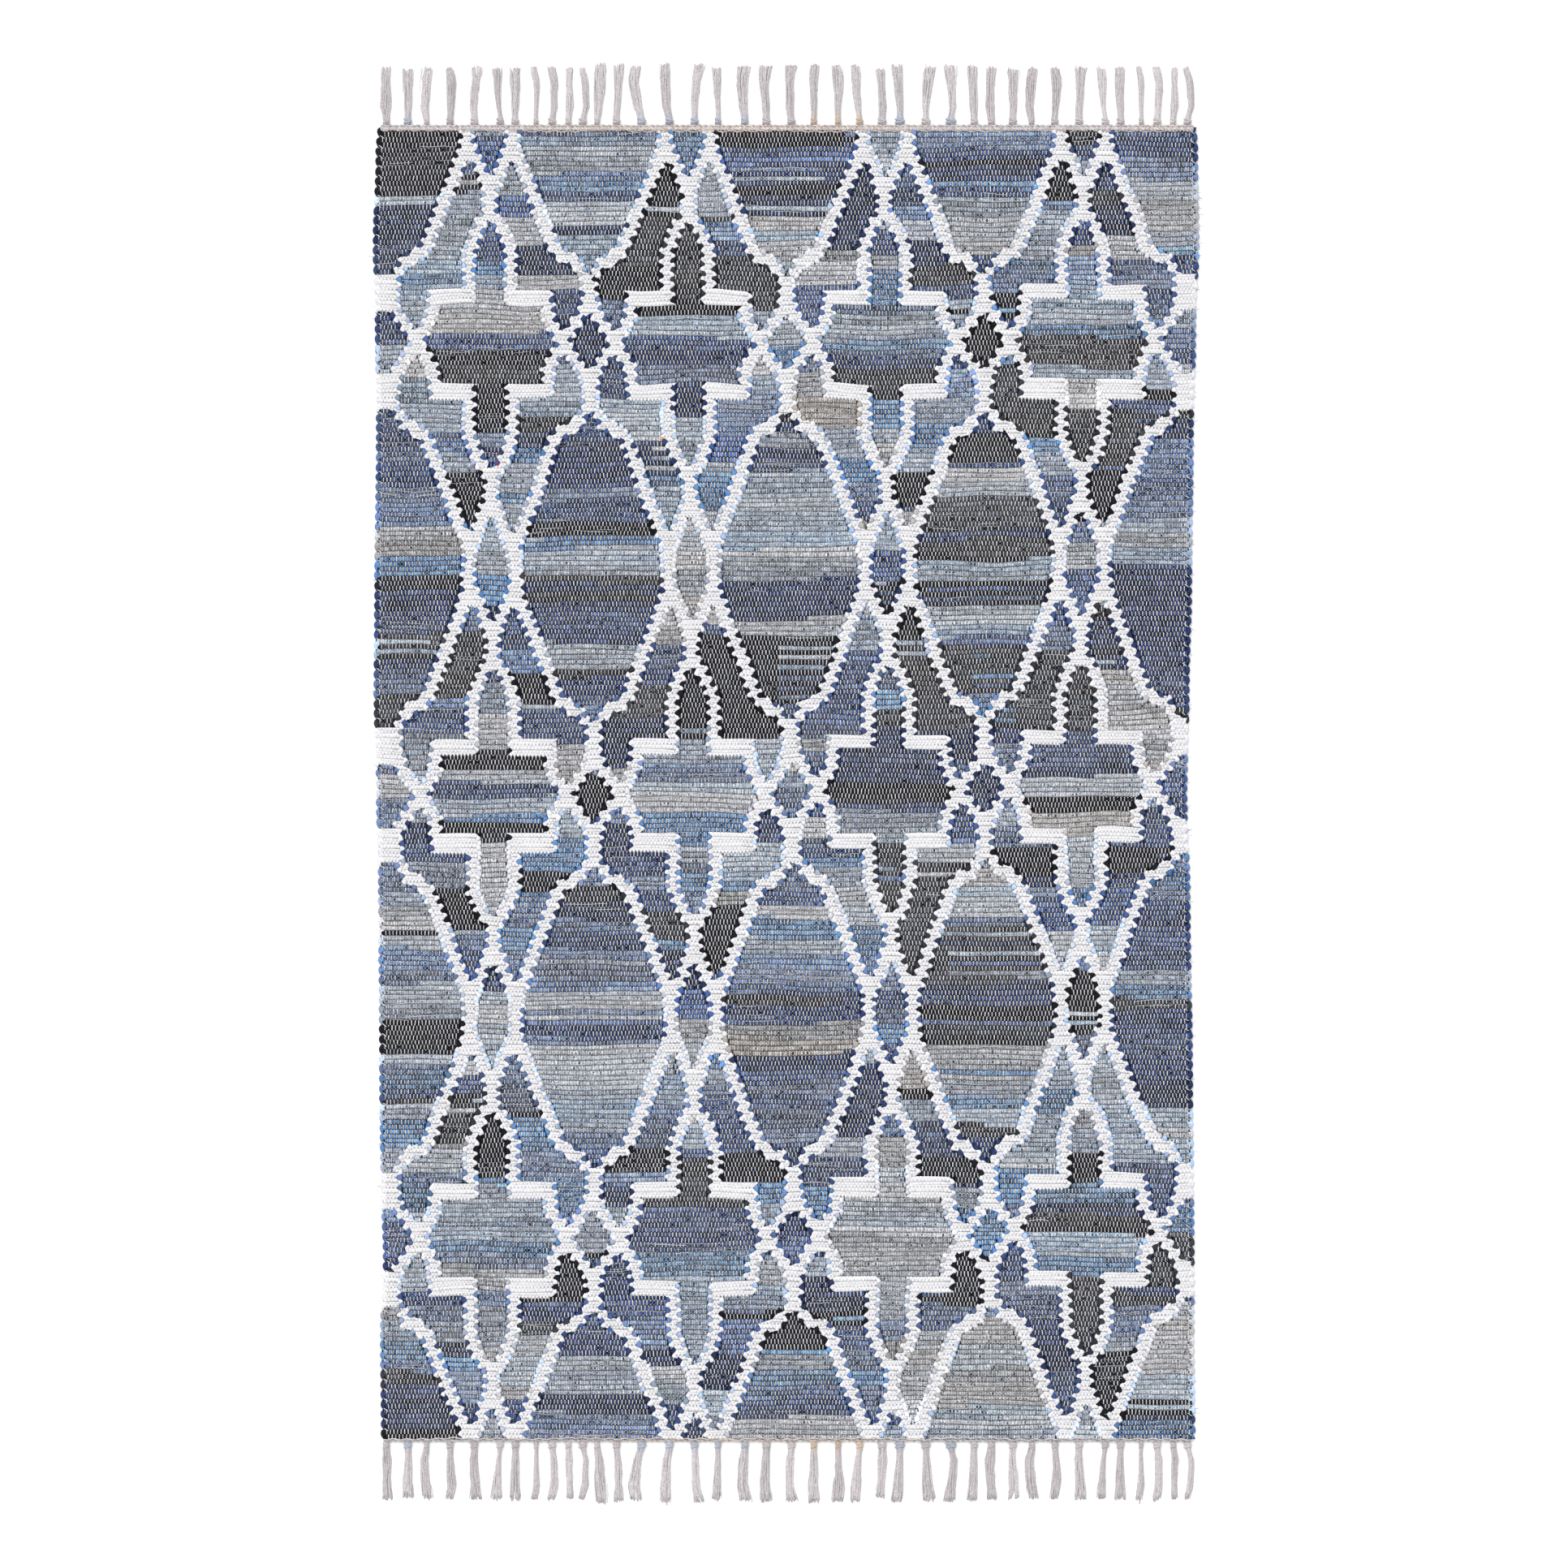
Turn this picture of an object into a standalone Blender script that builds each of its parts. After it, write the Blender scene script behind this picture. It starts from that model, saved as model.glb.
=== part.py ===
"""A handwoven denim rag rug, lying flat, with a knotted fringe at both ends.

The frame: metres, +Z up, the floor at Z = 0. The origin is the middle of the underside, +Y runs along the
rug's length and +X across it. The rug is three solids: the woven body, whose weft rows are ribs in its top
face, and at each end a narrow twined heading with the knotted locks of warp that grow out of it.
"""

import math
import random
from collections import namedtuple

import bmesh
import bpy

MM = 0.001

# The weave
ROW_PITCH = 5.5 * MM
ROWS = 266
BODY_LENGTH = ROWS * ROW_PITCH
CREST_HEIGHT = 5.6 * MM
VALLEY_HEIGHT = 4.5 * MM
STRIP_UNEVENNESS = 0.3 * MM

# The selvedges, where a weft strip turns round the last warp once in two rows
SELVEDGE_HEIGHT = 2.6 * MM
SELVEDGE_ROUNDING = 3.2 * MM
TURN_NOTCH = 2.6 * MM
TURN_SHOULDER = 0.6 * MM

# The twined heading at each end, parted from the woven body by a hair
HEADING_GAP = 0.3 * MM
HEADING_WIDTH = 4.0 * MM
HEADING_HEIGHT = 4.6 * MM
HEADING_UNEVENNESS = 0.4 * MM

# A lock of the fringe: how high it lies at its root, knot, neck, body and cut tip
ROOT_HEIGHT = 3.6 * MM
KNOT_HEIGHT = 5.0 * MM
NECK_HEIGHT = 3.2 * MM
LOCK_HEIGHT = 2.8 * MM
TIP_HEIGHT = 1.8 * MM
KNOT_AT = 3.0 * MM
NECK_AT = 7.5 * MM
LOW_AT = 19.0 * MM
MID_AT = 47.0 * MM
ROOT_SHARE = 0.9
NECK_SHARE = 0.78
TOP_SHARE = 0.8
NECK_STRAY_SHARE = 0.16
HALFWAY = 0.5

# Seeds of the small differences between weft strips and along the headings
STRIP_SEED = 5
HEADING_SEED = 9

# The side outline, as uneven as the real one: along the length, and out to each selvedge, in millimetres
Side = namedtuple("Side", "along left right")
SIDES = [
    Side(732, -455.7, 458.4),
    Side(704, -457.9, 459.7),
    Side(602, -461.1, 461.1),
    Side(511, -458.8, 457.5),
    Side(385, -457.5, 454.8),
    Side(222, -459.3, 453.0),
    Side(104, -460.2, 450.2),
    Side(-14, -457.5, 447.6),
    Side(-122, -455.2, 451.1),
    Side(-330, -453.9, 453.9),
    Side(-448, -452.5, 455.2),
    Side(-529, -449.8, 455.7),
    Side(-611, -453.0, 455.7),
    Side(-732, -452.0, 456.6),
]

# The locks of one end from left to right, in millimetres: where the root stands, the width of the knotted
# foot, then how far the lock has strayed sideways and how wide it is, low, at mid length and at its cut tip,
# and how long it is. The tufts were knotted in the same order again after the last of these, so the first
# ones come back further along.
Lock = namedtuple("Lock", "root foot low_stray low mid_stray mid tip_stray tip length")
LOCKS = [
    Lock(-446, 8.2, -0.8, 12.0, -0.7, 9.0, 0.5, 11.4, 67),
    Lock(-422, 9.8, 0.0, 9.0, 0.0, 10.5, 0.6, 12.5, 65),
    Lock(-401, 6.5, -2.9, 9.8, -1.1, 10.5, 1.4, 10.9, 66),
    Lock(-375, 8.7, 0.6, 7.8, 2.1, 10.2, -0.6, 7.8, 66),
    Lock(-348, 9.4, -0.5, 9.1, 1.2, 10.2, 2.0, 13.9, 67),
    Lock(-319, 9.0, -1.7, 4.8, -3.4, 8.6, -3.6, 10.2, 66),
    Lock(-302, 9.4, -0.2, 7.8, -0.6, 9.8, -0.6, 11.8, 67),
    Lock(-279, 6.0, 0.3, 4.9, 0.2, 7.0, -2.5, 5.7, 67),
    Lock(-261, 9.8, 1.7, 8.0, 2.5, 8.6, -0.9, 8.6, 67),
    Lock(-243, 7.2, 1.2, 8.4, 1.2, 5.4, 1.4, 7.0, 66),
    Lock(-227, 9.8, 4.0, 6.4, 2.7, 7.5, -1.2, 6.2, 66),
    Lock(-211, 6.8, 2.2, 10.2, 3.8, 13.8, 4.7, 11.0, 71),
    Lock(-189, 9.4, 0.9, 8.6, 2.0, 8.8, 3.2, 11.7, 69),
    Lock(-161, 10.9, -4.6, 10.2, -9.0, 11.6, -6.2, 11.6, 68),
    Lock(-130, 10.2, -3.1, 9.8, -4.7, 10.6, -4.3, 10.2, 70),
    Lock(-102, 9.8, 0.2, 7.6, 0.8, 9.6, 5.0, 12.0, 70),
    Lock(-76, 7.8, -0.1, 7.2, -1.1, 9.0, -2.4, 10.9, 67),
    Lock(-46, 9.0, -1.5, 9.8, -3.4, 12.0, -0.5, 15.0, 69),
    Lock(-22, 10.0, -1.1, 9.0, -2.5, 11.1, -0.5, 13.9, 69),
    Lock(6, 9.8, -1.6, 8.7, -2.4, 7.6, 0.6, 13.8, 69),
    Lock(31, 7.8, 0.0, 8.2, -0.7, 11.2, 0.5, 12.0, 70),
    Lock(58, 7.5, 0.2, 8.4, 0.8, 12.6, -0.9, 12.3, 69),
    Lock(82, 9.0, -2.1, 7.0, -3.9, 10.4, -4.8, 9.4, 69),
    Lock(107, 10.5, 0.4, 10.4, -1.6, 8.2, -3.1, 10.9, 65),
    Lock(127, 12.0, -0.7, 8.2, -2.0, 10.4, -4.0, 12.5, 70),
    Lock(156, 11.2, 0.3, 7.5, 1.6, 11.0, 4.1, 13.6, 68),
    Lock(184, 12.8, 2.8, 8.2, 0.4, 10.3, -1.2, 14.3, 69),
    Lock(210, 9.0, -0.8, 8.2, -1.4, 9.6, -2.3, 11.2, 68),
]
LOCKS_IN_AN_END = 39
REPEAT_SPACING = 675

# Colours of the dyed and the plain yarns
DENIM = (0.07, 0.10, 0.20, 1.0)
COTTON = (0.60, 0.56, 0.54, 1.0)
CLOTH_ROUGHNESS = 0.92


def ease(t):
    return t * t * (3.0 - 2.0 * t)


def side_reach(y):
    """How far the two selvedges reach at a place along the length."""
    along = y / MM
    for upper, lower in zip(SIDES, SIDES[1:]):
        if along >= lower.along or lower is SIDES[-1]:
            t = ease(min(1.0, max(0.0, (upper.along - along) / (upper.along - lower.along))))
            left = upper.left + t * (lower.left - upper.left)
            right = upper.right + t * (lower.right - upper.right)
            return left * MM, right * MM


def turn_inset(line, notch_line):
    """How far the selvedge draws in at a line: a notch between two turns, and a shoulder beside it."""
    place = (line - notch_line) % 4
    if place == 0:
        return TURN_NOTCH
    return TURN_SHOULDER if place % 2 else 0.0


def new_object(name, mesh, material, collection):
    thing = bpy.data.objects.new(name, mesh)
    mesh.materials.append(material)
    collection.objects.link(thing)
    return thing


def cloth_material(name, colour):
    material = bpy.data.materials.new(name)
    material.use_nodes = True
    shader = material.node_tree.nodes["Principled BSDF"]
    shader.inputs["Base Color"].default_value = colour
    shader.inputs["Roughness"].default_value = CLOTH_ROUGHNESS
    shader.inputs["Metallic"].default_value = 0.0
    return material


def slab(bm, columns, lines):
    """A grid of columns by lines and its copy above: returns both as point[column, line]."""
    bmesh.ops.create_grid(bm, x_segments=columns - 1, y_segments=lines - 1, size=1.0)

    def by_place(points):
        return {
            (round((p.co.x + 1) / 2 * (columns - 1)), round((p.co.y + 1) / 2 * (lines - 1))): p
            for p in points
        }

    low = by_place(bm.verts)
    raised = bmesh.ops.extrude_face_region(bm, geom=bm.faces[:])["geom"]
    high = by_place([g for g in raised if isinstance(g, bmesh.types.BMVert)])
    return low, high


def finish_mesh(bm, name):
    bmesh.ops.recalc_face_normals(bm, faces=bm.faces[:])
    mesh = bpy.data.meshes.new(name)
    bm.to_mesh(mesh)
    bm.free()
    return mesh


def woven_body_mesh():
    """One flat slab. Every row of weft is a rib from selvedge to selvedge, with a crest and two valleys."""
    seeded = random.Random(STRIP_SEED)
    lines = 2 * ROWS + 1
    bm = bmesh.new()
    low, high = slab(bm, 4, lines)
    for line in range(lines):
        y = line * ROW_PITCH / 2 - BODY_LENGTH / 2
        left, right = side_reach(y)
        left += turn_inset(line, 0)
        right -= turn_inset(line, 2)
        crest = line % 2
        height = CREST_HEIGHT - seeded.uniform(0, STRIP_UNEVENNESS) if crest else VALLEY_HEIGHT
        shape = [
            (left, SELVEDGE_HEIGHT),
            (left + SELVEDGE_ROUNDING, height),
            (right - SELVEDGE_ROUNDING, height),
            (right, SELVEDGE_HEIGHT),
        ]
        for column, (x, z) in enumerate(shape):
            low[column, line].co = (x, y, 0.0)
            high[column, line].co = (x, y, z)
    across = [
        edge
        for column in (1, 2)
        for line in range(lines - 1)
        for edge in low[column, line].link_edges
        if edge.other_vert(low[column, line]) is low[column, line + 1]
    ]
    bmesh.ops.dissolve_edges(bm, edges=across, use_verts=True)
    return finish_mesh(bm, "woven_body")


def end_locks():
    """The locks of a whole end, each with its root's place across the rug in metres."""
    for number in range(LOCKS_IN_AN_END):
        turn, which = divmod(number, len(LOCKS))
        lock = LOCKS[which]
        yield (lock.root + turn * REPEAT_SPACING) * MM, lock


def lock_sections(lock):
    """A lock from its knot to its tip: distance from the heading, stray sideways, width and height."""
    return [
        (KNOT_AT, 0.0, lock.foot * MM, KNOT_HEIGHT),
        (NECK_AT, lock.low_stray * MM * NECK_STRAY_SHARE, lock.low * MM * NECK_SHARE, NECK_HEIGHT),
        (LOW_AT, lock.low_stray * MM, lock.low * MM, LOCK_HEIGHT),
        (
            LOW_AT + (MID_AT - LOW_AT) * HALFWAY,
            (lock.low_stray + (lock.mid_stray - lock.low_stray) * HALFWAY) * MM,
            (lock.low + (lock.mid - lock.low) * HALFWAY) * MM,
            LOCK_HEIGHT,
        ),
        (MID_AT, lock.mid_stray * MM, lock.mid * MM, LOCK_HEIGHT),
        (lock.length * MM - HEADING_WIDTH, lock.tip_stray * MM, lock.tip * MM, TIP_HEIGHT),
    ]


def fringe_mesh(name, end):
    """A twined heading across one end and its locks, each drawn out of the heading's outer wall."""
    seeded = random.Random(HEADING_SEED)
    locks = list(end_locks())
    inner = BODY_LENGTH / 2 + HEADING_GAP
    outer = inner + HEADING_WIDTH
    left, right = side_reach(end * BODY_LENGTH / 2)
    roots = [x + side * lock.foot * MM * ROOT_SHARE / 2 for x, lock in locks for side in (-1, 1)]
    stations = [min(left + TURN_NOTCH, roots[0]), *roots, max(right - TURN_NOTCH, roots[-1])]
    bm = bmesh.new()
    low, high = slab(bm, len(stations), 2)
    for place, x in enumerate(stations):
        height = HEADING_HEIGHT - seeded.uniform(0, HEADING_UNEVENNESS)
        for line, y, z in ((0, inner, height), (1, outer, ROOT_HEIGHT)):
            low[place, line].co = (x, end * y, 0.0)
            high[place, line].co = (x, end * y, z)
    for number, (root, lock) in enumerate(locks):
        corners = [
            low[2 * number + 1, 1],
            low[2 * number + 2, 1],
            high[2 * number + 1, 1],
            high[2 * number + 2, 1],
        ]
        face = next(f for f in corners[0].link_faces if all(c in f.verts for c in corners))
        for distance, stray, width, height in lock_sections(lock):
            before = [v.co.copy() for v in face.verts]
            middle = sum(v.x for v in before) / len(before)
            half_up = sum(v.z for v in before) / len(before)
            face = bmesh.ops.extrude_discrete_faces(bm, faces=[face])["faces"][0]
            for corner, old in zip(face.verts, before):
                upper = old.z > half_up
                half_width = width / 2 * (TOP_SHARE if upper else 1.0)
                corner.co.x = root + stray + math.copysign(half_width, old.x - middle)
                corner.co.y = end * (outer + distance)
                corner.co.z = height if upper else 0.0
    return finish_mesh(bm, name)


for thing in list(bpy.data.objects):
    bpy.data.objects.remove(thing)

rug = bpy.data.collections.new("denim_rag_rug")
bpy.context.scene.collection.children.link(rug)
denim = cloth_material("denim_weft", DENIM)
cotton = cloth_material("cotton_warp", COTTON)

new_object("woven_body", woven_body_mesh(), denim, rug)
new_object("fringe_far", fringe_mesh("fringe_far", 1), cotton, rug)
new_object("fringe_near", fringe_mesh("fringe_near", -1), cotton, rug)
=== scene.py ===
# %% [markdown]
# A rag rug is woven from strips of worn cloth. This one has blue denim strips for its weft, an off-white cotton
# weft that draws a lattice between them, and a white cotton warp that crosses every strip in short bars. It
# lies flat on the floor. Its two ends are closed by a twined heading, and the warp hangs out of it in knotted
# locks. The frame gives the size: the outline of the woven body, its rows, and where each lock lies.

# %% Load the frame
import math
import random
from collections import namedtuple

import bpy
import numpy as np
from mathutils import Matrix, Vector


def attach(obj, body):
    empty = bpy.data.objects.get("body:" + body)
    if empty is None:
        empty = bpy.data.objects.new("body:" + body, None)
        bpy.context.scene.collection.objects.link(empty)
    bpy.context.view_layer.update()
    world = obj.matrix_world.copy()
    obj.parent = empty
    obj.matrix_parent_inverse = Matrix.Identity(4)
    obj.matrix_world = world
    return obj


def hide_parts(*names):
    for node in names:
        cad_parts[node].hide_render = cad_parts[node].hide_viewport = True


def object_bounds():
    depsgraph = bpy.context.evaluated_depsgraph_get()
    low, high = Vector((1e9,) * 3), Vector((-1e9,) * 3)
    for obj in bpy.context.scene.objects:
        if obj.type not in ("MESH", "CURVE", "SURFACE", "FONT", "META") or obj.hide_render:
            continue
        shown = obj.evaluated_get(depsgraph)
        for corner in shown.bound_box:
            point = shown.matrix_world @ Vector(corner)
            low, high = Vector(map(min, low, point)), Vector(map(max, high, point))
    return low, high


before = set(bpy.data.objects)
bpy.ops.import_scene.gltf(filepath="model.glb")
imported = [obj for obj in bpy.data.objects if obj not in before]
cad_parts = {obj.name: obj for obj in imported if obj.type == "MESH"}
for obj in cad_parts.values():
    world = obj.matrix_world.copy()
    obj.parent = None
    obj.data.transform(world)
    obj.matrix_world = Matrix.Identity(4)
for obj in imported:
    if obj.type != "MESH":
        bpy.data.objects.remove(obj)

MM = 0.001
cad_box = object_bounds()

# %% [markdown]
# The looks are worked out from the frame's own points. Each line of the woven body has a left and a right end.
# The lines lie half a row apart: even ones are the valleys between rows, odd ones are the crests.

# %% Read the woven body's outline


def node_points(name):
    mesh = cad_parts[name].data
    flat = np.empty(3 * len(mesh.vertices))
    mesh.vertices.foreach_get("co", flat)
    return np.unique(flat.reshape(-1, 3).round(6), axis=0)


body_points = node_points("woven_body")
line_y, line_of = np.unique(body_points[:, 1].round(5), return_inverse=True)
line_left = np.full(len(line_y), np.inf)
line_right = np.full(len(line_y), -np.inf)
np.minimum.at(line_left, line_of, body_points[:, 0])
np.maximum.at(line_right, line_of, body_points[:, 0])
ROWS = (len(line_y) - 1) // 2
BODY_START = line_y[0]
PITCH = (line_y[-1] - line_y[0]) / ROWS
HALF_LENGTH = line_y[-1]
CREST = body_points[:, 2].max()
VALLEY = CREST - 1.1 * MM
print("rows", ROWS, "pitch mm", round(PITCH / MM, 3), "crest mm", round(CREST / MM, 2))


def left_of(y):
    """The left selvedge without its notches."""
    return np.interp(y, line_y[2::4], line_left[2::4])


def right_of(y):
    return np.interp(y, line_y[0::4], line_right[0::4])


# %% [markdown]
# The rug was photographed from straight above with a long lens, so its edges are parallel. The camera comes
# first, because everything else is seen through it. The light is a large soft panel at the upper left and a
# pale room around it, which leaves almost no shadow beside so thin a thing.

# %% Camera and light
PHOTO_SPAN = 1.748
LENS = 100.0
SENSOR = 36.0
FRAME_CENTRE = (-0.0023, -0.0009)

camera_data = bpy.data.cameras.new("camera")
camera_data.lens = LENS
camera_data.sensor_width = SENSOR
camera_data.clip_end = 100.0
camera = bpy.data.objects.new("camera", camera_data)
camera.location = (*FRAME_CENTRE, CREST + PHOTO_SPAN * LENS / SENSOR)
bpy.context.scene.collection.objects.link(camera)
bpy.context.scene.camera = camera

SUN_POWER = 1.9
ROOM_POWER = 0.95
lamp = bpy.data.lights.new("panel", "SUN")
lamp.energy = SUN_POWER
lamp.angle = math.radians(50)
panel = bpy.data.objects.new("panel", lamp)
panel.rotation_euler = (math.radians(-38), math.radians(-24), 0.0)
bpy.context.scene.collection.objects.link(panel)

world = bpy.data.worlds.new("room")
bpy.context.scene.world = world
world.use_nodes = True
room = world.node_tree.nodes["Background"]
room.inputs["Color"].default_value = (1.0, 1.0, 1.0, 1.0)
room.inputs["Strength"].default_value = ROOM_POWER
bpy.context.scene.view_settings.view_transform = "Standard"

# %% [markdown]
# A material is a small tree of nodes. This helper adds one node at a time, links what is given to it, and
# hands back its output, so that a recipe below reads from top to bottom.

# %% Material helper


class Recipe:
    def __init__(self, name):
        self.material = bpy.data.materials.new(name)
        self.material.use_nodes = True
        self.tree = self.material.node_tree
        self.shader = self.tree.nodes["Principled BSDF"]

    def put(self, socket, value):
        if isinstance(value, bpy.types.NodeSocket):
            self.tree.links.new(value, socket)
        elif value is not None:
            socket.default_value = value

    def add(self, kind, *values, **settings):
        node = self.tree.nodes.new("ShaderNode" + kind)
        for name, value in settings.items():
            setattr(node, name, value)
        for socket, value in zip(node.inputs, values):
            self.put(socket, value)
        return node

    def math(self, operation, *values, clamp=False):
        return self.add("Math", *values, operation=operation, use_clamp=clamp).outputs[0]

    def mix(self, factor, first, second, blend="MIX"):
        node = self.add("Mix", data_type="RGBA", blend_type=blend)
        self.put(node.inputs[0], factor)
        self.put(node.inputs[6], first)
        self.put(node.inputs[7], second)
        return node.outputs[2]

    def step(self, value, low, high, out_low=0.0, out_high=1.0):
        node = self.add("MapRange", value, low, high, out_low, out_high, interpolation_type="SMOOTHSTEP")
        return node.outputs[0]

    def noise(self, place, scale, detail=2.0, roughness=0.5):
        node = self.add("TexNoise", place, None, scale, detail, roughness)
        return node.outputs["Fac"]

    def stretch(self, place, x, y, z):
        return self.add("Mapping", place, None, None, (x, y, z)).outputs[0]

    def product(self, first, *others):
        for other in others:
            first = self.math("MULTIPLY", first, other)
        return first

    def from_middle(self, value):
        """How far a counted value is from the middle between two whole numbers: 0 there, 0.5 at the numbers."""
        return self.math("ABSOLUTE", self.math("SUBTRACT", self.math("FRACT", value), 0.5))

    def point(self, x, y, z=None):
        return self.add("CombineXYZ", x, y, z).outputs[0]

    def bump(self, height, distance, strength=1.0):
        node = self.add("Bump")
        self.put(node.inputs["Strength"], strength)
        self.put(node.inputs["Distance"], distance)
        self.put(node.inputs["Height"], height)
        self.put(self.shader.inputs["Normal"], node.outputs[0])

    def finish(self, colour, roughness, sheen):
        self.put(self.shader.inputs["Base Color"], colour)
        self.shader.inputs["Roughness"].default_value = roughness
        self.shader.inputs["Specular IOR Level"].default_value = 0.2
        self.shader.inputs["Sheen Weight"].default_value = sheen
        self.shader.inputs["Sheen Roughness"].default_value = 0.6
        return self.material


# %% [markdown]
# The floor is a plain pale plane, much larger than the rug, and not part of it.

# %% Floor
for thing in bpy.context.selected_objects:
    thing.select_set(False)
bpy.ops.mesh.primitive_plane_add(size=12.0)
floor = bpy.context.object
floor.name = "floor"
floor_look = Recipe("pale_floor")
floor_grain = floor_look.noise(floor_look.add("TexCoord").outputs["Object"], 3.0)
floor_tone = floor_look.mix(floor_grain, (0.93, 0.93, 0.93, 1.0), (0.95, 0.95, 0.95, 1.0))
floor.data.materials.append(floor_look.finish(floor_tone, 0.9, 0.0))

# %% [markdown]
# Handwork is uneven. A wave field gives a smooth random value for any place on the rug. It is a coarse table of
# random numbers, blended softly in between, and the same each time because it is seeded.

# %% Uneven fields


def wave_field(seed, reach_x, reach_y, size):
    """A function of x and y in metres whose value wanders between -size and size over the given reaches."""
    count_x = int(1.1 / reach_x) + 4
    count_y = int(1.7 / reach_y) + 4
    table = np.random.default_rng(seed).uniform(-size, size, (count_x, count_y))

    def value(x, y):
        u = np.clip((np.asarray(x, float) + 0.55) / reach_x, 0, count_x - 2.001)
        v = np.clip((np.asarray(y, float) + 0.85) / reach_y, 0, count_y - 2.001)
        i = u.astype(int)
        j = v.astype(int)
        u = (u - i) ** 2 * (3 - 2 * (u - i))
        v = (v - j) ** 2 * (3 - 2 * (v - j))
        low = table[i, j] * (1 - u) + table[i + 1, j] * u
        high = table[i, j + 1] * (1 - u) + table[i + 1, j + 1] * u
        return low * (1 - v) + high * v

    return value


broad_wave = wave_field(11, 0.065, 0.026, 2.3 * MM)
small_wave = wave_field(12, 0.026, 0.0075, 0.65 * MM)
END_CALM = 0.02


def row_line(x, line):
    """Where the line between two rows of weft runs: y at a place across the rug."""
    y = BODY_START + line * PITCH
    calm = np.clip((HALF_LENGTH - np.abs(y)) / END_CALM, 0, 1)
    return y + calm * (broad_wave(x, y) + small_wave(x, y))


def warp_place(share, y):
    """x of a warp thread that lies at a share of the way from the left selvedge to the right one."""
    left = left_of(y)
    return left + share * (right_of(y) - left)


# %% [markdown]
# The lattice is a traditional ogee of pointed ovals with a stepped lantern at each crossing. It repeats four
# times across and about three times along, so one quarter of a lantern is enough: the rest is its mirror
# images. Each band of the quarter runs from one place to another, away from the lantern's middle, in
# millimetres. The weaver's lanterns don't sit evenly, so the middle of each one is given too.

# %% The lattice
Lantern = namedtuple("Lantern", "across along")
LANTERNS = [
    [Lantern(-330, 492), Lantern(-109, 492), Lantern(110, 492), Lantern(331, 494)],
    [Lantern(-326, -13), Lantern(-103, -13), Lantern(116, -8), Lantern(327, -3)],
    [Lantern(-328, -507), Lantern(-102, -509), Lantern(119, -505), Lantern(334, -498)],
]
HALF_ACROSS = 110.5
HALF_ALONG = 250.2

Band = namedtuple("Band", "across along to_across to_along width to_width")
BANDS = [
    Band(81.0, 0.0, 65.0, 28.0, 15.0, 13.5),
    Band(65.0, 28.0, 63.5, 50.0, 13.5, 12.0),
    Band(23.5, 50.0, 23.5, 105.0, 12.5, 12.5),
    Band(23.5, 105.0, 15.0, 128.0, 12.5, 13.0),
    Band(15.0, 128.0, 4.0, 148.0, 13.0, 13.0),
    Band(3.5, 148.0, 3.5, 176.0, 8.0, 8.0),
    Band(3.5, 176.0, 13.0, 205.0, 12.5, 12.5),
    Band(13.0, 205.0, 24.5, 232.0, 12.5, 13.0),
    Band(24.5, 232.0, 25.5, 265.0, 13.0, 11.0),
    Band(81.0, 0.0, 104.0, 34.0, 14.0, 13.0),
    Band(104.0, 34.0, 106.5, 50.0, 13.0, 9.0),
    Band(106.5, 50.0, 106.5, 74.0, 9.0, 9.0),
    Band(106.5, 74.0, 97.0, 88.0, 9.0, 12.0),
    Band(97.0, 86.0, 86.0, 97.0, 12.0, 26.0),
    Band(86.0, 97.0, 71.0, 110.0, 26.0, 13.0),
    Band(72.5, 106.0, 26.5, 226.0, 14.0, 13.5),
    Band(26.5, 226.0, 25.5, 265.0, 13.5, 11.0),
]
BEYOND = [Band(98.0, 36.0, 98.0, 75.0, 34.0, 34.0)]
Bar = namedtuple("Bar", "across to_across along rows")
BARS = [Bar(17.5, 68.5, 54.0, 3.3)]
TOP_REACH = 240.0
MIN_DENIM = 5.0
Edge = namedtuple("Edge", "x slope")


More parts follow.
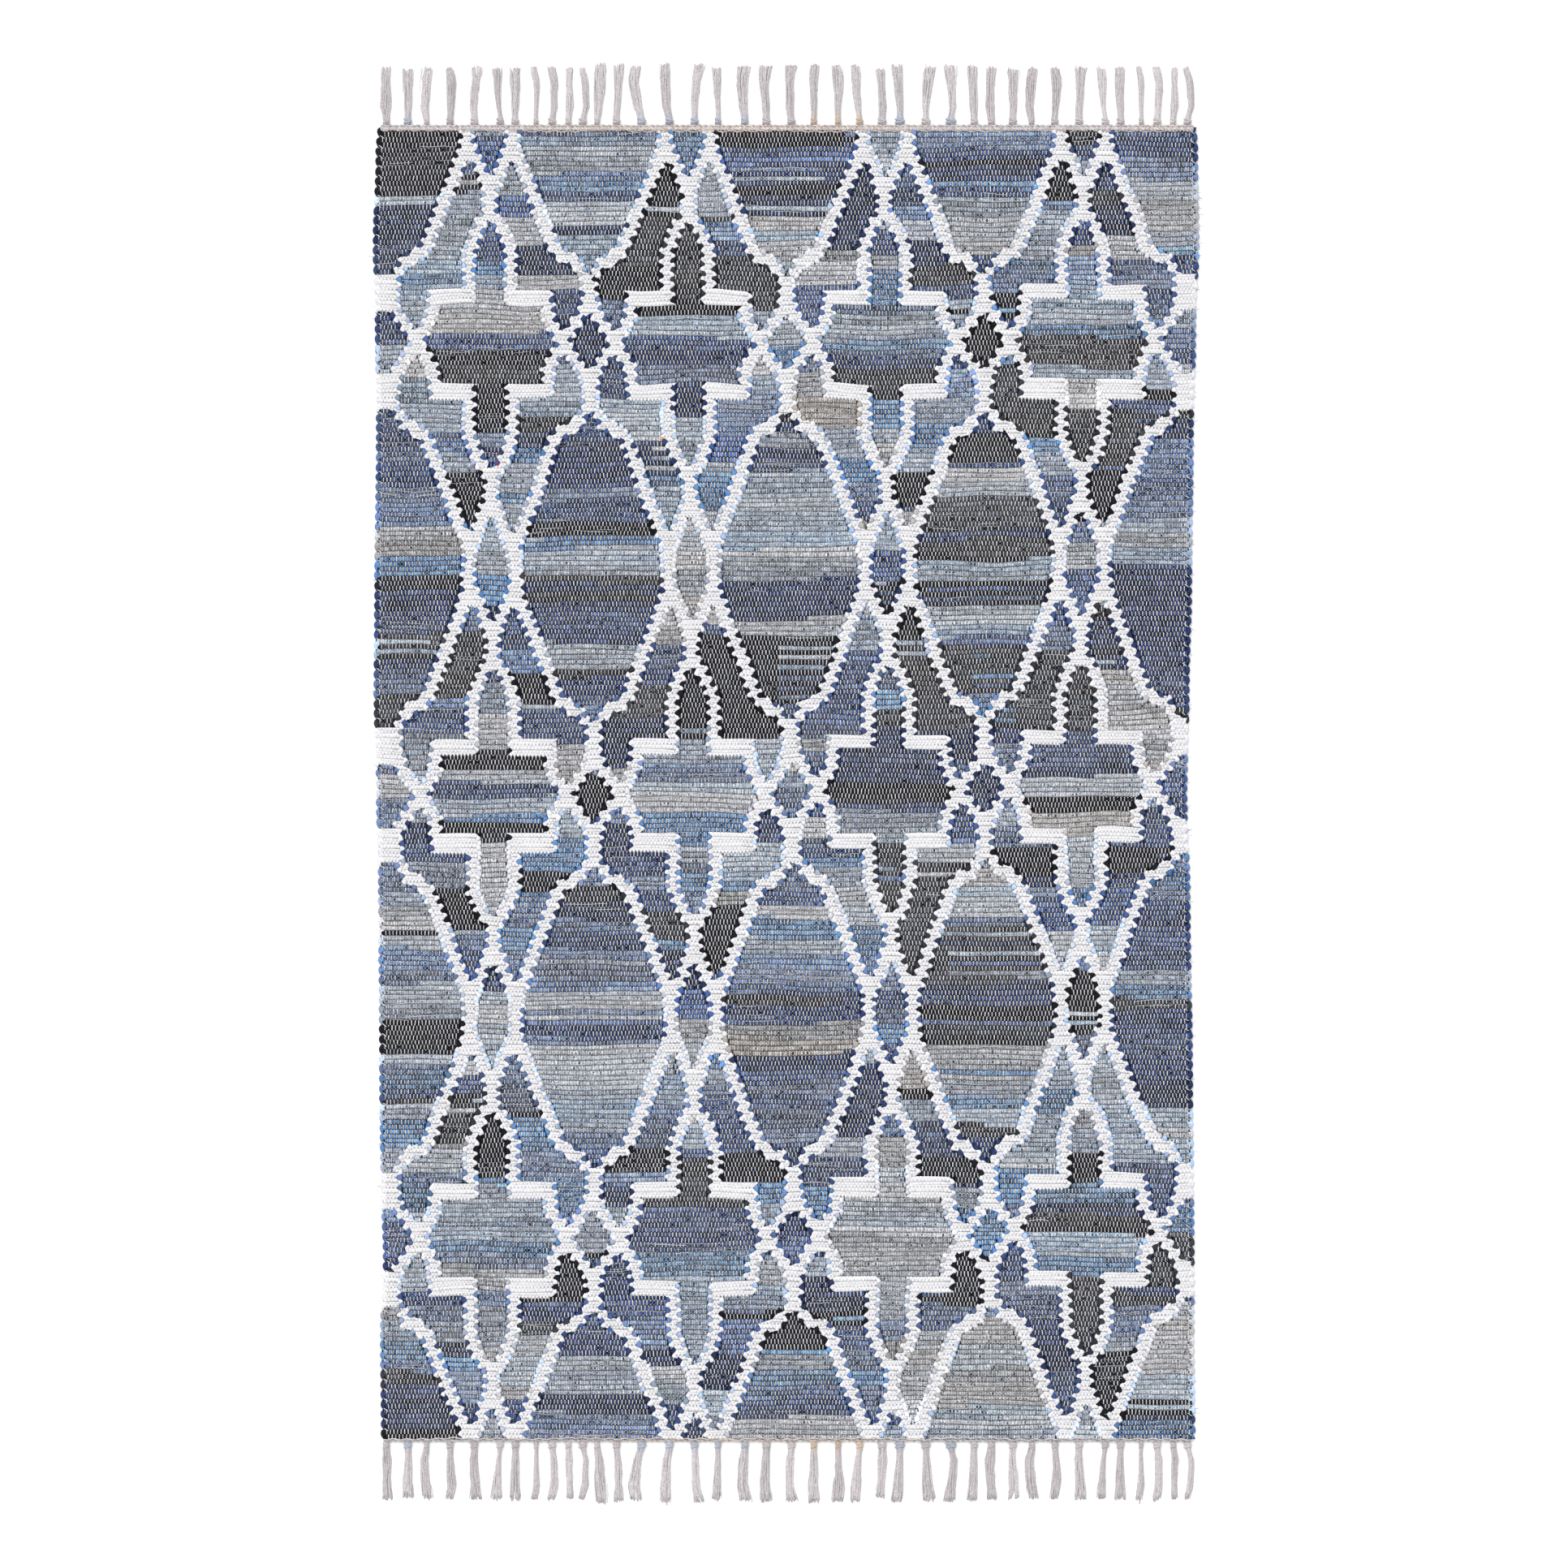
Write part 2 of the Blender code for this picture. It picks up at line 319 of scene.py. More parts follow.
def pieces_of_lattice(y):
    """The white stretches across the rug at y, as pairs of edges, in millimetres, from left to right."""
    found = []
    upper, middle, lower = LANTERNS
    for column in range(-1, 5):
        here = min(max(column, 0), 3)
        rows = [row[here] for row in (upper, middle, lower)]
        first = (rows[0].along + rows[1].along) / 2
        second = (rows[1].along + rows[2].along) / 2
        which = 0 if y > first else 1 if y > second else 2
        own = rows[which].along
        limits = [rows[0].along + TOP_REACH, first, second, rows[2].along - HALF_ALONG]
        reach = limits[which] - own if y > own else own - limits[which + 1]
        lift = (y - own) * HALF_ALONG / reach
        share = (y - LANTERNS[2][here].along) / (LANTERNS[0][here].along - LANTERNS[2][here].along)
        share = min(max(share, 0.0), 1.0) * 2
        at = 1 if share < 1 else 0
        part = share - (1 - at)

        def across(number):
            low = LANTERNS[at + 1][number].across
            return low + (LANTERNS[at][number].across - low) * part

        centre = across(here) + (column - here) * 2 * HALF_ACROSS
        for side in (-1, 1):
            beside = column + side
            inside = 0 <= column <= 3
            if 0 <= beside <= 3 and inside:
                grow = abs(across(beside) - centre) / 2 / HALF_ACROSS
            else:
                grow = 1.0
            for band in BANDS if inside else BEYOND:
                length = band.to_along - band.along
                t = (abs(lift) - band.along) / length
                if 0 <= t <= 1:
                    x = centre + side * grow * (band.across + t * (band.to_across - band.across))
                    wide = band.width + t * (band.to_width - band.width)
                    away = math.copysign(1, lift)
                    tilt = side * grow * away * (band.to_across - band.across) / length
                    flare = away * (band.to_width - band.width) / length / 2
                    found.append((Edge(x - wide / 2, tilt - flare), Edge(x + wide / 2, tilt + flare)))
            for bar in BARS if inside else []:
                if abs(abs(lift) - bar.along) < bar.rows * PITCH / MM / 2:
                    ends = sorted(centre + side * grow * a for a in (bar.across, bar.to_across))
                    found.append((Edge(ends[0], 0.0), Edge(ends[1], 0.0)))
    found.sort()
    joined = []
    for start, end in found:
        if joined and start.x < joined[-1][1].x + MIN_DENIM:
            if end.x > joined[-1][1].x:
                joined[-1] = (joined[-1][0], end)
        else:
            joined.append((start, end))
    return joined


# %% [markdown]
# In a tapestry weave each colour turns back where it meets the next one. A strip runs to the right in one row
# and back to the left in the next, so every meeting of two colours is a zigzag: at one line the left colour
# bulges over, at the next line the right colour does. The selvedges turn in the same rhythm.

# %% Cells of each row
TOOTH = 3.0 * MM
edge_wander = wave_field(21, 0.03, 0.022, 1.4 * MM)
edge_jitter = wave_field(22, 0.012, 0.0055, 0.8 * MM)
tooth_wander = wave_field(23, 0.02, 0.0055, 0.35)


def tooth_shift(line):
    return 1 if line % 2 == 0 else -1


def edge_on_line(edge, y_row, line):
    y = BODY_START + line * PITCH
    x = edge.x * MM + edge.slope * (y - y_row)
    x = x + edge_wander(x, y) + edge_jitter(x, y)
    return float(x + tooth_shift(line) * TOOTH * (1 + tooth_wander(x, y)))


Cell = namedtuple("Cell", "low_start high_start low_end high_end white")


def cells_of_row(row):
    """The stretches of denim and cotton in a row, each with the x of its ends on the lower and upper line."""
    y = BODY_START + (row + 0.5) * PITCH
    left = float(left_of(y))
    right = float(right_of(y))
    marks = []
    for start, end in pieces_of_lattice(y / MM):
        if end.x * MM < left + 4 * MM or start.x * MM > right - 4 * MM:
            continue
        marks.append((start, end))
    ends = []
    for start, end in marks:
        ends.append([edge_on_line(start, y, row + n) for n in (0, 1)])
        ends.append([edge_on_line(end, y, row + n) for n in (0, 1)])
    left_ends = [line_left[2 * row], line_left[2 * row + 2]]
    right_ends = [line_right[2 * row], line_right[2 * row + 2]]
    starts_white = bool(ends) and max(ends[0]) < left + 6 * MM
    stops_white = bool(ends) and min(ends[-1]) > right - 6 * MM
    if starts_white:
        ends = ends[1:]
    if stops_white:
        ends = ends[:-1]
    ends = [left_ends, *ends, right_ends]
    cells = []
    white = starts_white
    for (low, high), (low_end, high_end) in zip(ends, ends[1:]):
        cells.append(Cell(low, high, low_end, high_end, white))
        white = not white
    return cells


row_cells = [cells_of_row(row) for row in range(ROWS)]
print("cells in the weave", sum(len(cells) for cells in row_cells))

# %% [markdown]
# Old jeans give strips of many blues. Each strip is wound back and forth until it is used up, and then the
# next one starts, so the colour changes at any place in a row. Washed, thin strips fray the most. Most tones
# are drawn at random from the heap. The ones that catch the eye are laid where the real rug has them.

# %% Strips of denim
Tone = namedtuple("Tone", "red green blue fray share")
TONES = {
    "ink": Tone(0.007, 0.008, 0.014, 0.00, 3),
    "charcoal": Tone(0.034, 0.037, 0.048, 0.15, 4),
    "navy": Tone(0.024, 0.040, 0.112, 0.08, 15),
    "indigo": Tone(0.055, 0.092, 0.225, 0.25, 21),
    "denim": Tone(0.145, 0.212, 0.385, 0.40, 22),
    "bright": Tone(0.120, 0.245, 0.480, 0.30, 7),
    "washed": Tone(0.360, 0.440, 0.590, 0.60, 18),
    "sky": Tone(0.420, 0.530, 0.690, 0.60, 7),
    "mist": Tone(0.580, 0.610, 0.680, 0.80, 11),
    "stone": Tone(0.450, 0.460, 0.490, 0.75, 6),
}
NAMES = list(TONES)
SHARES = [TONES[name].share for name in NAMES]

Laid = namedtuple("Laid", "tone left right top bottom")
NOTED = [
    Laid("ink", -465, -355, 735, 652),
    Laid("ink", -152, -118, 697, 632),
    Laid("charcoal", -178, -118, 632, 575),
    Laid("ink", -212, -140, 575, 540),
    Laid("charcoal", -128, -90, 632, 537),
    Laid("ink", -172, -50, 537, 522),
    Laid("ink", -402, -265, 484, 466),
    Laid("navy", -236, -200, 528, 466),
    Laid("ink", -350, -308, 443, 388),
    Laid("ink", -378, -333, 346, 285),
    Laid("navy", -265, -150, 380, 330),
    Laid("ink", -82, 65, 730, 708),
    Laid("ink", -60, 55, 669, 655),
    Laid("navy", 42, 98, 692, 592),
    Laid("navy", 150, 280, 700, 670),
    Laid("sky", 160, 270, 660, 634),
    Laid("ink", 280, 325, 697, 648),
    Laid("ink", 305, 352, 735, 708),
    Laid("ink", 198, 245, 531, 464),
    Laid("ink", 173, 273, 389, 355),
    Laid("mist", 165, 285, 350, 318),
    Laid("charcoal", 310, 388, 416, 353),
    Laid("ink", 328, 372, 348, 293),
    Laid("ink", 115, 158, 346, 308),
    Laid("ink", -295, -140, 293, 277),
    Laid("ink", -465, -360, 229, 213),
    Laid("charcoal", -397, -338, 172, 92),
    Laid("ink", -303, -258, 120, 86),
    Laid("mist", -348, -310, 79, 40),
    Laid("ink", -395, -262, 36, 14),
    Laid("ink", -395, -262, -45, -64),
    Laid("ink", -232, -192, 12, -38),
    Laid("ink", -300, -230, -101, -120),
    Laid("ink", -395, -340, -113, -168),
    Laid("mist", -345, -312, -66, -145),
    Laid("ink", -126, -85, 115, 60),
    Laid("ink", -98, -8, 167, 52),
    Laid("ink", 112, 158, 225, 157),
    Laid("charcoal", 128, 208, 156, 62),
    Laid("ink", 150, 290, 240, 219),
    Laid("charcoal", 255, 345, 150, 62),
    Laid("navy", 366, 465, 240, 125),
    Laid("ink", 40, 182, -2, -20),
    Laid("navy", 200, 240, 32, -40),
    Laid("ink", 255, 385, -15, -35),
    Laid("ink", 350, 412, -74, -99),
    Laid("ink", 234, 298, -74, -105),
    Laid("charcoal", 120, 180, -90, -212),
    Laid("ink", -92, -52, -140, -215),
    Laid("mist", -300, -140, -229, -262),
    Laid("ink", -465, -360, -262, -302),
    Laid("ink", 148, 298, -249, -266),
    Laid("ink", 309, 344, -208, -278),
    Laid("stone", 120, 176, -290, -340),
    Laid("charcoal", -398, -350, -346, -403),
    Laid("ink", -345, -305, -363, -442),
    Laid("ink", -200, -126, -408, -436),
    Laid("ink", -72, -5, -412, -446),
    Laid("ink", 146, 218, -419, -443),
    Laid("ink", 313, 350, -412, -447),
    Laid("ink", -262, -218, -522, -580),
    Laid("ink", 176, 222, -521, -584),
    Laid("ink", -25, 52, -590, -636),
    Laid("ink", 340, 386, -632, -712),
]
SHORTEST_STRIP = 0.08
LONGEST_STRIP = 0.75
USUAL_STRIP = 0.22
SAME_HEAP = 0.5


def noted_tone(x, y):
    for laid in NOTED:
        if laid.left * MM < x < laid.right * MM and laid.bottom * MM < y < laid.top * MM:
            return laid.tone
    return None


def next_tone(dice, before):
    """A tone from the heap. Strips of one garment follow each other, so it is often close to the last one."""
    if before and dice.random() < SAME_HEAP:
        place = NAMES.index(before.name) + dice.choice((-1, 0, 1))
        return NAMES[min(max(place, 1), len(NAMES) - 1)]
    return dice.choices(NAMES, SHARES)[0]


class Strip:
    def __init__(self, dice, before=None, name=None, noted=False):
        self.name = name or next_tone(dice, before)
        self.noted = noted
        tone = TONES[self.name]
        light = math.exp(dice.gauss(0, 0.22))
        warm = dice.gauss(0, 0.06)
        self.colour = (tone.red * light * (1 + warm), tone.green * light, tone.blue * light * (1 - warm))
        self.fray = min(1.0, max(0.0, tone.fray + dice.gauss(0, 0.18)))
        self.left = dice.triangular(SHORTEST_STRIP, LONGEST_STRIP, USUAL_STRIP)
        self.rows_left = dice.triangular(1.0, 7.5, 2.2)
        if self.name == "ink" and not noted:
            self.rows_left = 1.5


Stretch = namedtuple("Stretch", "low_start high_start low_end high_end colour fray white")
COTTON = (0.775, 0.77, 0.80)
CHANGE = 12 * MM
LOOK_AHEAD = 5 * MM
NEAR_NOTHING = 1e-6


def change_strip(strip, wanted, dice):
    """The strip that goes on from here: the same one, unless it is used up or another tone is noted."""
    if wanted and strip.name != wanted:
        return Strip(dice, name=wanted, noted=True)
    if not wanted and strip.noted:
        return Strip(dice)
    if strip.left <= 0 or strip.rows_left <= 0:
        return Strip(dice, strip, wanted, noted=bool(wanted))
    return strip


def strip_reach(strip, here, stop, sign, y):
    """How far a strip runs in this row: to its end, to a noted patch or to the end of the cell."""
    room = abs(stop - here)
    reach = min(room, max(strip.left, CHANGE))
    for laid in NOTED:
        if laid.bottom * MM < y < laid.top * MM and not strip.noted:
            ahead = sign * ((laid.left if sign > 0 else laid.right) * MM - here)
            if CHANGE < ahead < reach:
                reach = ahead
    return room if room - reach < CHANGE else reach


def fill_cell(strip, start, end, rightward, y, dice):
    """Runs strips through one cell of a row. It gives each part's ends and strip, in the order laid."""
    here, stop, sign = (start, end, 1) if rightward else (end, start, -1)
    parts = []
    while abs(stop - here) > NEAR_NOTHING:
        strip = change_strip(strip, noted_tone(here + sign * LOOK_AHEAD, y), dice)
        reach = strip_reach(strip, here, stop, sign, y)
        parts.append((here, here + sign * reach, strip))
        strip.left -= reach
        strip.rows_left -= 1
        here += sign * reach
    return parts


def strip_before(before, start, end, dice):
    """The strip that lies over most of this cell in the row before, or else a new one."""
    overlap = [(min(end, b) - max(start, a), s) for a, b, s in before]
    width, strip = max(overlap, key=lambda pair: pair[0], default=(0, None))
    return strip if width > 0.3 * (end - start) else Strip(dice)


def lay_strips():
    """Every row as stretches of one colour each, left to right."""
    dice = random.Random(31)
    laid_rows = []
    before = []
    for row, cells in enumerate(row_cells):
        y = BODY_START + (row + 0.5) * PITCH
        stretches = []
        now = []
        for cell in cells:
            if cell.white:
                shade = 1 + dice.gauss(0, 0.02)
                colour = tuple(part * shade for part in COTTON)
                stretches.append(Stretch(*cell[:4], colour, 0.0, True))
                continue
            start = (cell.low_start + cell.high_start) / 2
            end = (cell.low_end + cell.high_end) / 2
            first = strip_before(before, start, end, dice)
            parts = fill_cell(first, start, end, row % 2 == 1, y, dice)
            now.append((start, end, parts[-1][2] if parts else first))
            for a, b, k in sorted((min(p[:2]), max(p[:2]), k) for k, p in enumerate(parts)):
                owner = parts[k][2]
                low_start, high_start = (cell.low_start, cell.high_start) if a == start else (a, a)
                low_end, high_end = (cell.low_end, cell.high_end) if b == end else (b, b)
                stretches.append(
                    Stretch(low_start, high_start, low_end, high_end, owner.colour, owner.fray, False)
                )
        before = now
        laid_rows.append(stretches)
    return laid_rows


laid_rows = lay_strips()
print("stretches of one colour", sum(len(stretches) for stretches in laid_rows))

# %% [markdown]
# Thousands of small things are made as joined meshes from arrays of points, because a bpy.ops call for each
# one would take hours. This helper makes the object, gives it flat maps for its finish, and sets it up to ride
# with the rug. The map named OFBake looks down on the faces that point up in its left half, and on the ones
# that point down in its right half, so that nothing lies on top of anything else.

# %% Mesh helper


def add_bake_map(mesh):
    normals = np.empty(3 * len(mesh.polygons))
    mesh.polygons.foreach_get("normal", normals)
    sizes = np.empty(len(mesh.polygons), int)
    mesh.polygons.foreach_get("loop_total", sizes)
    corners = np.empty(len(mesh.loops), int)
    mesh.loops.foreach_get("vertex_index", corners)
    points = np.empty(3 * len(mesh.vertices))
    mesh.vertices.foreach_get("co", points)
    low, high = np.array(cad_box[0])[:2], np.array(cad_box[1])[:2]
    flat = (points.reshape(-1, 3)[corners, :2] - low + 0.005) / (high - low + 0.01)
    flat[:, 0] = flat[:, 0] / 2 + 0.5 * np.repeat(normals[2::3] < 0, sizes)
    bake = mesh.uv_layers.new(name="OFBake")
    bake.data.foreach_set("uv", np.clip(flat, 0, 1).ravel())


def new_piece(name, points, face_groups, material, smooth=True):
    mesh = bpy.data.meshes.new(name)
    corners = np.concatenate([np.asarray(group).ravel() for group in face_groups])
    sizes = np.concatenate([np.full(len(group), np.asarray(group).shape[1]) for group in face_groups])
    mesh.vertices.add(len(points))
    mesh.vertices.foreach_set("co", np.ascontiguousarray(points, float).ravel())
    mesh.loops.add(len(corners))
    mesh.loops.foreach_set("vertex_index", corners.astype(np.int32))
    mesh.polygons.add(len(sizes))
    mesh.polygons.foreach_set("loop_start", (np.cumsum(sizes) - sizes).astype(np.int32))
    mesh.update(calc_edges=True)
    if smooth:
        mesh.shade_smooth()
    mesh.materials.append(material)
    thing = bpy.data.objects.new(name, mesh)
    bpy.context.scene.collection.objects.link(thing)
    add_bake_map(mesh)
    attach(thing, "root")
    print(name, "has", int((sizes - 2).sum()), "triangles")
    return thing


def add_colours(thing, name, values):
    """A colour for each face corner, as rows of red, green, blue and alpha."""
    layer = thing.data.color_attributes.new(name, "FLOAT_COLOR", "CORNER")
    layer.data.foreach_set("color", np.ascontiguousarray(values, float).ravel())


def add_map(thing, name, values):
    layer = thing.data.uv_layers.new(name=name)
    layer.data.foreach_set("uv", np.ascontiguousarray(values, float).ravel())


# %% [markdown]
# The woven strip's look: warp threads press it into a row of small pillows, with painted shade at the gaps
# between them and in the valleys between rows. Worn denim shows pale cotton threads that lie along the strip,
# and painted shade in thin dark cracks where its threads part. The map named weave counts warp pairs across and
# rows along. On the underside the warp's short bars are drawn by the same map, where it counts on from a
# thousand rows further.

# %% Woven strip material
WARPS = 457
UNDERSIDE_ROWS = 1000.0
COTTON_MARK = 2.0
# Painted shade: how dark the gaps beside the bars and the valleys between rows are painted.
GAP_SHADE = 0.04
VALLEY_SHADE = 0.16
FRAY_FILL = 0.62
COTTON_ROWS = 1.5
PALE_THREAD = (0.52, 0.54, 0.58, 1.0)
# Painted shade for the thin cracks where worn threads part.
PAINTED_CRACK_SHADE = (0.012, 0.014, 0.022, 1.0)
LIGHTEST = (0.78, 0.78, 0.81, 1.0)
UNDER_BAR = (0.74, 0.72, 0.71, 1.0)
WHITE = (1.0, 1.0, 1.0, 1.0)


def warp_count(x, y):
    """How many warps lie to the left of a place."""
    return WARPS * (x - left_of(y)) / (right_of(y) - left_of(y)) - 0.5


Weave = namedtuple("Weave", "place across along under from_bar in_row fray cotton denim")


def weave_marks(look, fray):
    """Where a point lies in the weave: how far from the middle of a bar, and from the middle of its row."""
    cotton = look.math("GREATER_THAN", fray, COTTON_MARK - 0.5)
    denim = look.math("SUBTRACT", 1.0, cotton)
    place = look.add("UVMap", uv_map="weave").outputs[0]
    apart = look.add("SeparateXYZ", place)
    across, along = apart.outputs[0], apart.outputs[1]
    under = look.math("GREATER_THAN", along, UNDERSIDE_ROWS / 2)
    turn = look.math("ADD", look.math("ADD", across, look.math("MULTIPLY", under, 0.5)), 0.5)
    from_bar = look.from_middle(turn)
    in_row = look.from_middle(along)
    return Weave(place, across, along, under, from_bar, in_row, fray, cotton, denim)


def denim_painted_shade(look, weave, gap):
    """Painted shade at the gaps beside the bars and in the valleys between rows, less dark where worn threads
    fill them.
    """
    valley = look.step(weave.in_row, 0.28, 0.46, 1.0, 0.0)
    patchy = look.noise(look.stretch(weave.place, 0.8, 1.3, 1.0), 1.0, 2.0, 0.6)
    filled = look.math("MULTIPLY", weave.fray, look.step(patchy, 0.42, 0.62, 0.0, FRAY_FILL), clamp=True)
    shades = []
    for part, darkest in ((gap, GAP_SHADE), (valley, VALLEY_SHADE)):
        low = look.math("ADD", filled, darkest)
        shades.append(look.add("MapRange", part, 0.0, 1.0, low, 1.0).outputs[0])
    return look.product(*shades)


def cotton_painted_shade(look, weave):
    """Painted shade: thin grey strokes between the bumps of the lattice, and a faint line between its shots."""
    shot = look.math("MULTIPLY", weave.along, COTTON_ROWS)
    shift = look.math("SUBTRACT", look.math("FLOOR", weave.along), look.math("FLOOR", shot))
    from_bump = look.from_middle(look.math("MULTIPLY_ADD", shift, 0.5, look.math("ADD", weave.across, 0.5)))
    in_shot = look.from_middle(shot)
    stroke = look.product(look.step(from_bump, 0.32, 0.46), look.step(in_shot, 0.30, 0.50, 1.0, 0.3))
    patchy = look.noise(look.stretch(weave.place, 1.3, 2.1, 1.0), 1.0, 2.0, 0.6)
    shade = look.math("SUBTRACT", 1.0, look.product(stroke, look.step(patchy, 0.35, 0.65, 0.15, 0.62)))
    return look.math("SUBTRACT", shade, look.step(in_shot, 0.34, 0.48, 0.0, 0.04))


def wear(look, weave):
    """How much lighter or darker denim is from place to place: by its row, by its pillow and by its threads."""
    row = look.math("FLOOR", weave.along)
    row_place = look.point(look.math("MULTIPLY", weave.across, 0.07), look.math("MULTIPLY", row, 7.3))
    lighter_row = look.step(look.noise(row_place, 1.0, 2.0, 0.55), 0.32, 0.66, 0.62, 1.45)
    worn = look.noise(look.stretch(weave.place, 0.45, 0.9, 1.0), 1.0, 4.0, 0.7)
    brighter = look.product(look.step(worn, 0.30, 0.72, 0.62, 1.60), lighter_row)
    calmer = look.math("MULTIPLY_ADD", weave.fray, -0.7, 1.2)
    brighter = look.math("MULTIPLY_ADD", look.math("SUBTRACT", brighter, 1.0), calmer, 1.0)
    fleck = look.noise(look.stretch(weave.place, 2.4, 8.0, 1.0), 1.0, 2.0, 0.6)
    fine = look.math("MULTIPLY_ADD", weave.fray, 0.1, 0.4)
    grain = look.math("MULTIPLY_ADD", look.step(fleck, 0.36, 0.64, -1.0, 1.0), fine, 1.05)
    pillow = look.point(look.math("FLOOR", weave.across), row)
    chance = look.add("TexWhiteNoise", pillow, noise_dimensions="3D").outputs["Value"]
    spread = look.math("MULTIPLY_ADD", weave.fray, -0.75, 1.1)
    each = look.math("MULTIPLY_ADD", look.math("SUBTRACT", chance, 0.45), spread, 1.0)
    return look.product(brighter, grain, each)


def frayed_share(look, weave, threads):
    """Where a pale cotton thread of worn denim lies on top."""
    limit = look.math("SUBTRACT", 0.76, look.math("MULTIPLY", weave.fray, 0.24))
    share = look.math("MULTIPLY", look.math("SUBTRACT", threads, limit), 14.0, clamp=True)
    return look.product(share, look.step(weave.fray, 0.02, 0.25), weave.denim, 0.8)


def edge_share(look, weave):
    """Where a pale thread runs along the line between two rows."""
    line = look.math("FLOOR", look.math("ADD", weave.along, 0.5))
    line_place = look.point(look.math("MULTIPLY", weave.across, 0.14), look.math("MULTIPLY", line, 5.1))
    found = look.step(look.noise(line_place, 1.0, 3.0, 0.6), 0.50, 0.58)
    at_edge = look.step(weave.in_row, 0.40, 0.45)
    return look.product(found, at_edge, look.step(weave.fray, 0.02, 0.45), weave.denim, 0.85)


def parted_share(look, weave):
    """Where worn threads part: painted shade in thin dark cracks between them."""
    worn_thread = look.noise(look.stretch(weave.place, 0.9, 2.6, 1.0), 1.0, 3.0, 0.65)
    crack = look.math("ABSOLUTE", look.math("SUBTRACT", worn_thread, 0.5))
    crack = look.step(crack, 0.015, 0.050, 1.0, 0.0)
    return look.product(crack, look.step(weave.fray, -0.05, 0.30), weave.denim, 0.66)


def strip_material():
    look = Recipe("woven_denim")
    tone = look.add("Attribute", attribute_name="tone")
    weave = weave_marks(look, tone.outputs["Alpha"])
    gap = look.step(weave.from_bar, 0.19, 0.38)
    threads = look.noise(look.stretch(weave.place, 0.35, 6.0, 1.0), 1.0, 3.0, 0.62)
    # Painted shade: at the gaps and valleys on denim, and in the strokes between the bumps on cotton.
    shades = denim_painted_shade(look, weave, gap), cotton_painted_shade(look, weave)
    shade = look.add("MapRange", weave.cotton, 0.0, 1.0, *shades).outputs[0]
    worn = wear(look, weave)
    uneven = look.mix(weave.cotton, look.point(worn, worn, worn), WHITE)
    cloth = look.mix(1.0, tone.outputs["Color"], look.point(shade, shade, shade), "MULTIPLY")
    cloth = look.mix(1.0, cloth, uneven, "MULTIPLY")
    cloth = look.mix(1.0, cloth, LIGHTEST, "DARKEN")
    cloth = look.mix(frayed_share(look, weave, threads), cloth, PALE_THREAD)
    cloth = look.mix(edge_share(look, weave), cloth, PALE_THREAD)
    cloth = look.mix(parted_share(look, weave), cloth, PAINTED_CRACK_SHADE)
    bar = look.product(weave.under, look.step(weave.from_bar, 0.12, 0.16, 1.0, 0.0))
    cloth = look.mix(bar, cloth, UNDER_BAR)
    height = look.math("ADD", look.math("MULTIPLY", gap, 0.6), look.math("MULTIPLY", threads, 0.5))
    look.bump(height, 0.6 * MM, 0.8)
    return look.finish(cloth, 0.9, 0.0)


woven_look = strip_material()

# %% [markdown]
# Every row is one long flattened tube from selvedge to selvedge, with a cross section of six corners: a broad
# top that falls to the valleys on both sides, and a narrower underside. Wherever two colours meet, its ring of
# corners is slanted, so that the rows together draw the zigzag.

# %% Rows of weft
STATION = 17 * MM
SECTION_PLACE = np.array([-1.0, -0.5, 0.5, 1.0, 0.62, -0.62])
SECTION_HEIGHT = np.array([VALLEY, CREST - 0.1 * MM, CREST - 0.1 * MM, VALLEY, 0.0, 0.0])
SELVEDGE_MIDDLE = 2.4 * MM
INSIDE = 3.0 * MM
THIN_END = 0.35
WHITE_FILL = 1.0 * MM
thickness_wave = wave_field(41, 0.03, 0.0055, 0.30 * MM)


def row_rings(row):
    """The rings along a row: x on the lower and upper line, how full the section is, and each gap's stretch."""
    low, high, full, owner = [], [], [], []
    stretches = laid_rows[row]
    for number, stretch in enumerate(stretches):
        length = (stretch.low_end + stretch.high_end - stretch.low_start - stretch.high_start) / 2
        steps = max(1, round(length / STATION))
        for step in range(steps):
            t = step / steps
            low.append(stretch.low_start + t * (stretch.low_end - stretch.low_start))
            high.append(stretch.high_start + t * (stretch.high_end - stretch.high_start))
            full.append(1.0)
            owner.append(number)
    low = [low[0], low[0] + INSIDE, *low[1:], stretches[-1].low_end - INSIDE, stretches[-1].low_end]
    high = [high[0], high[0] + INSIDE, *high[1:], stretches[-1].high_end - INSIDE, stretches[-1].high_end]
    full = [THIN_END, 1.0, *full[1:], 1.0, THIN_END]
    owner = [0, *owner, len(stretches) - 1]
    return np.array(low), np.array(high), np.array(full), owner


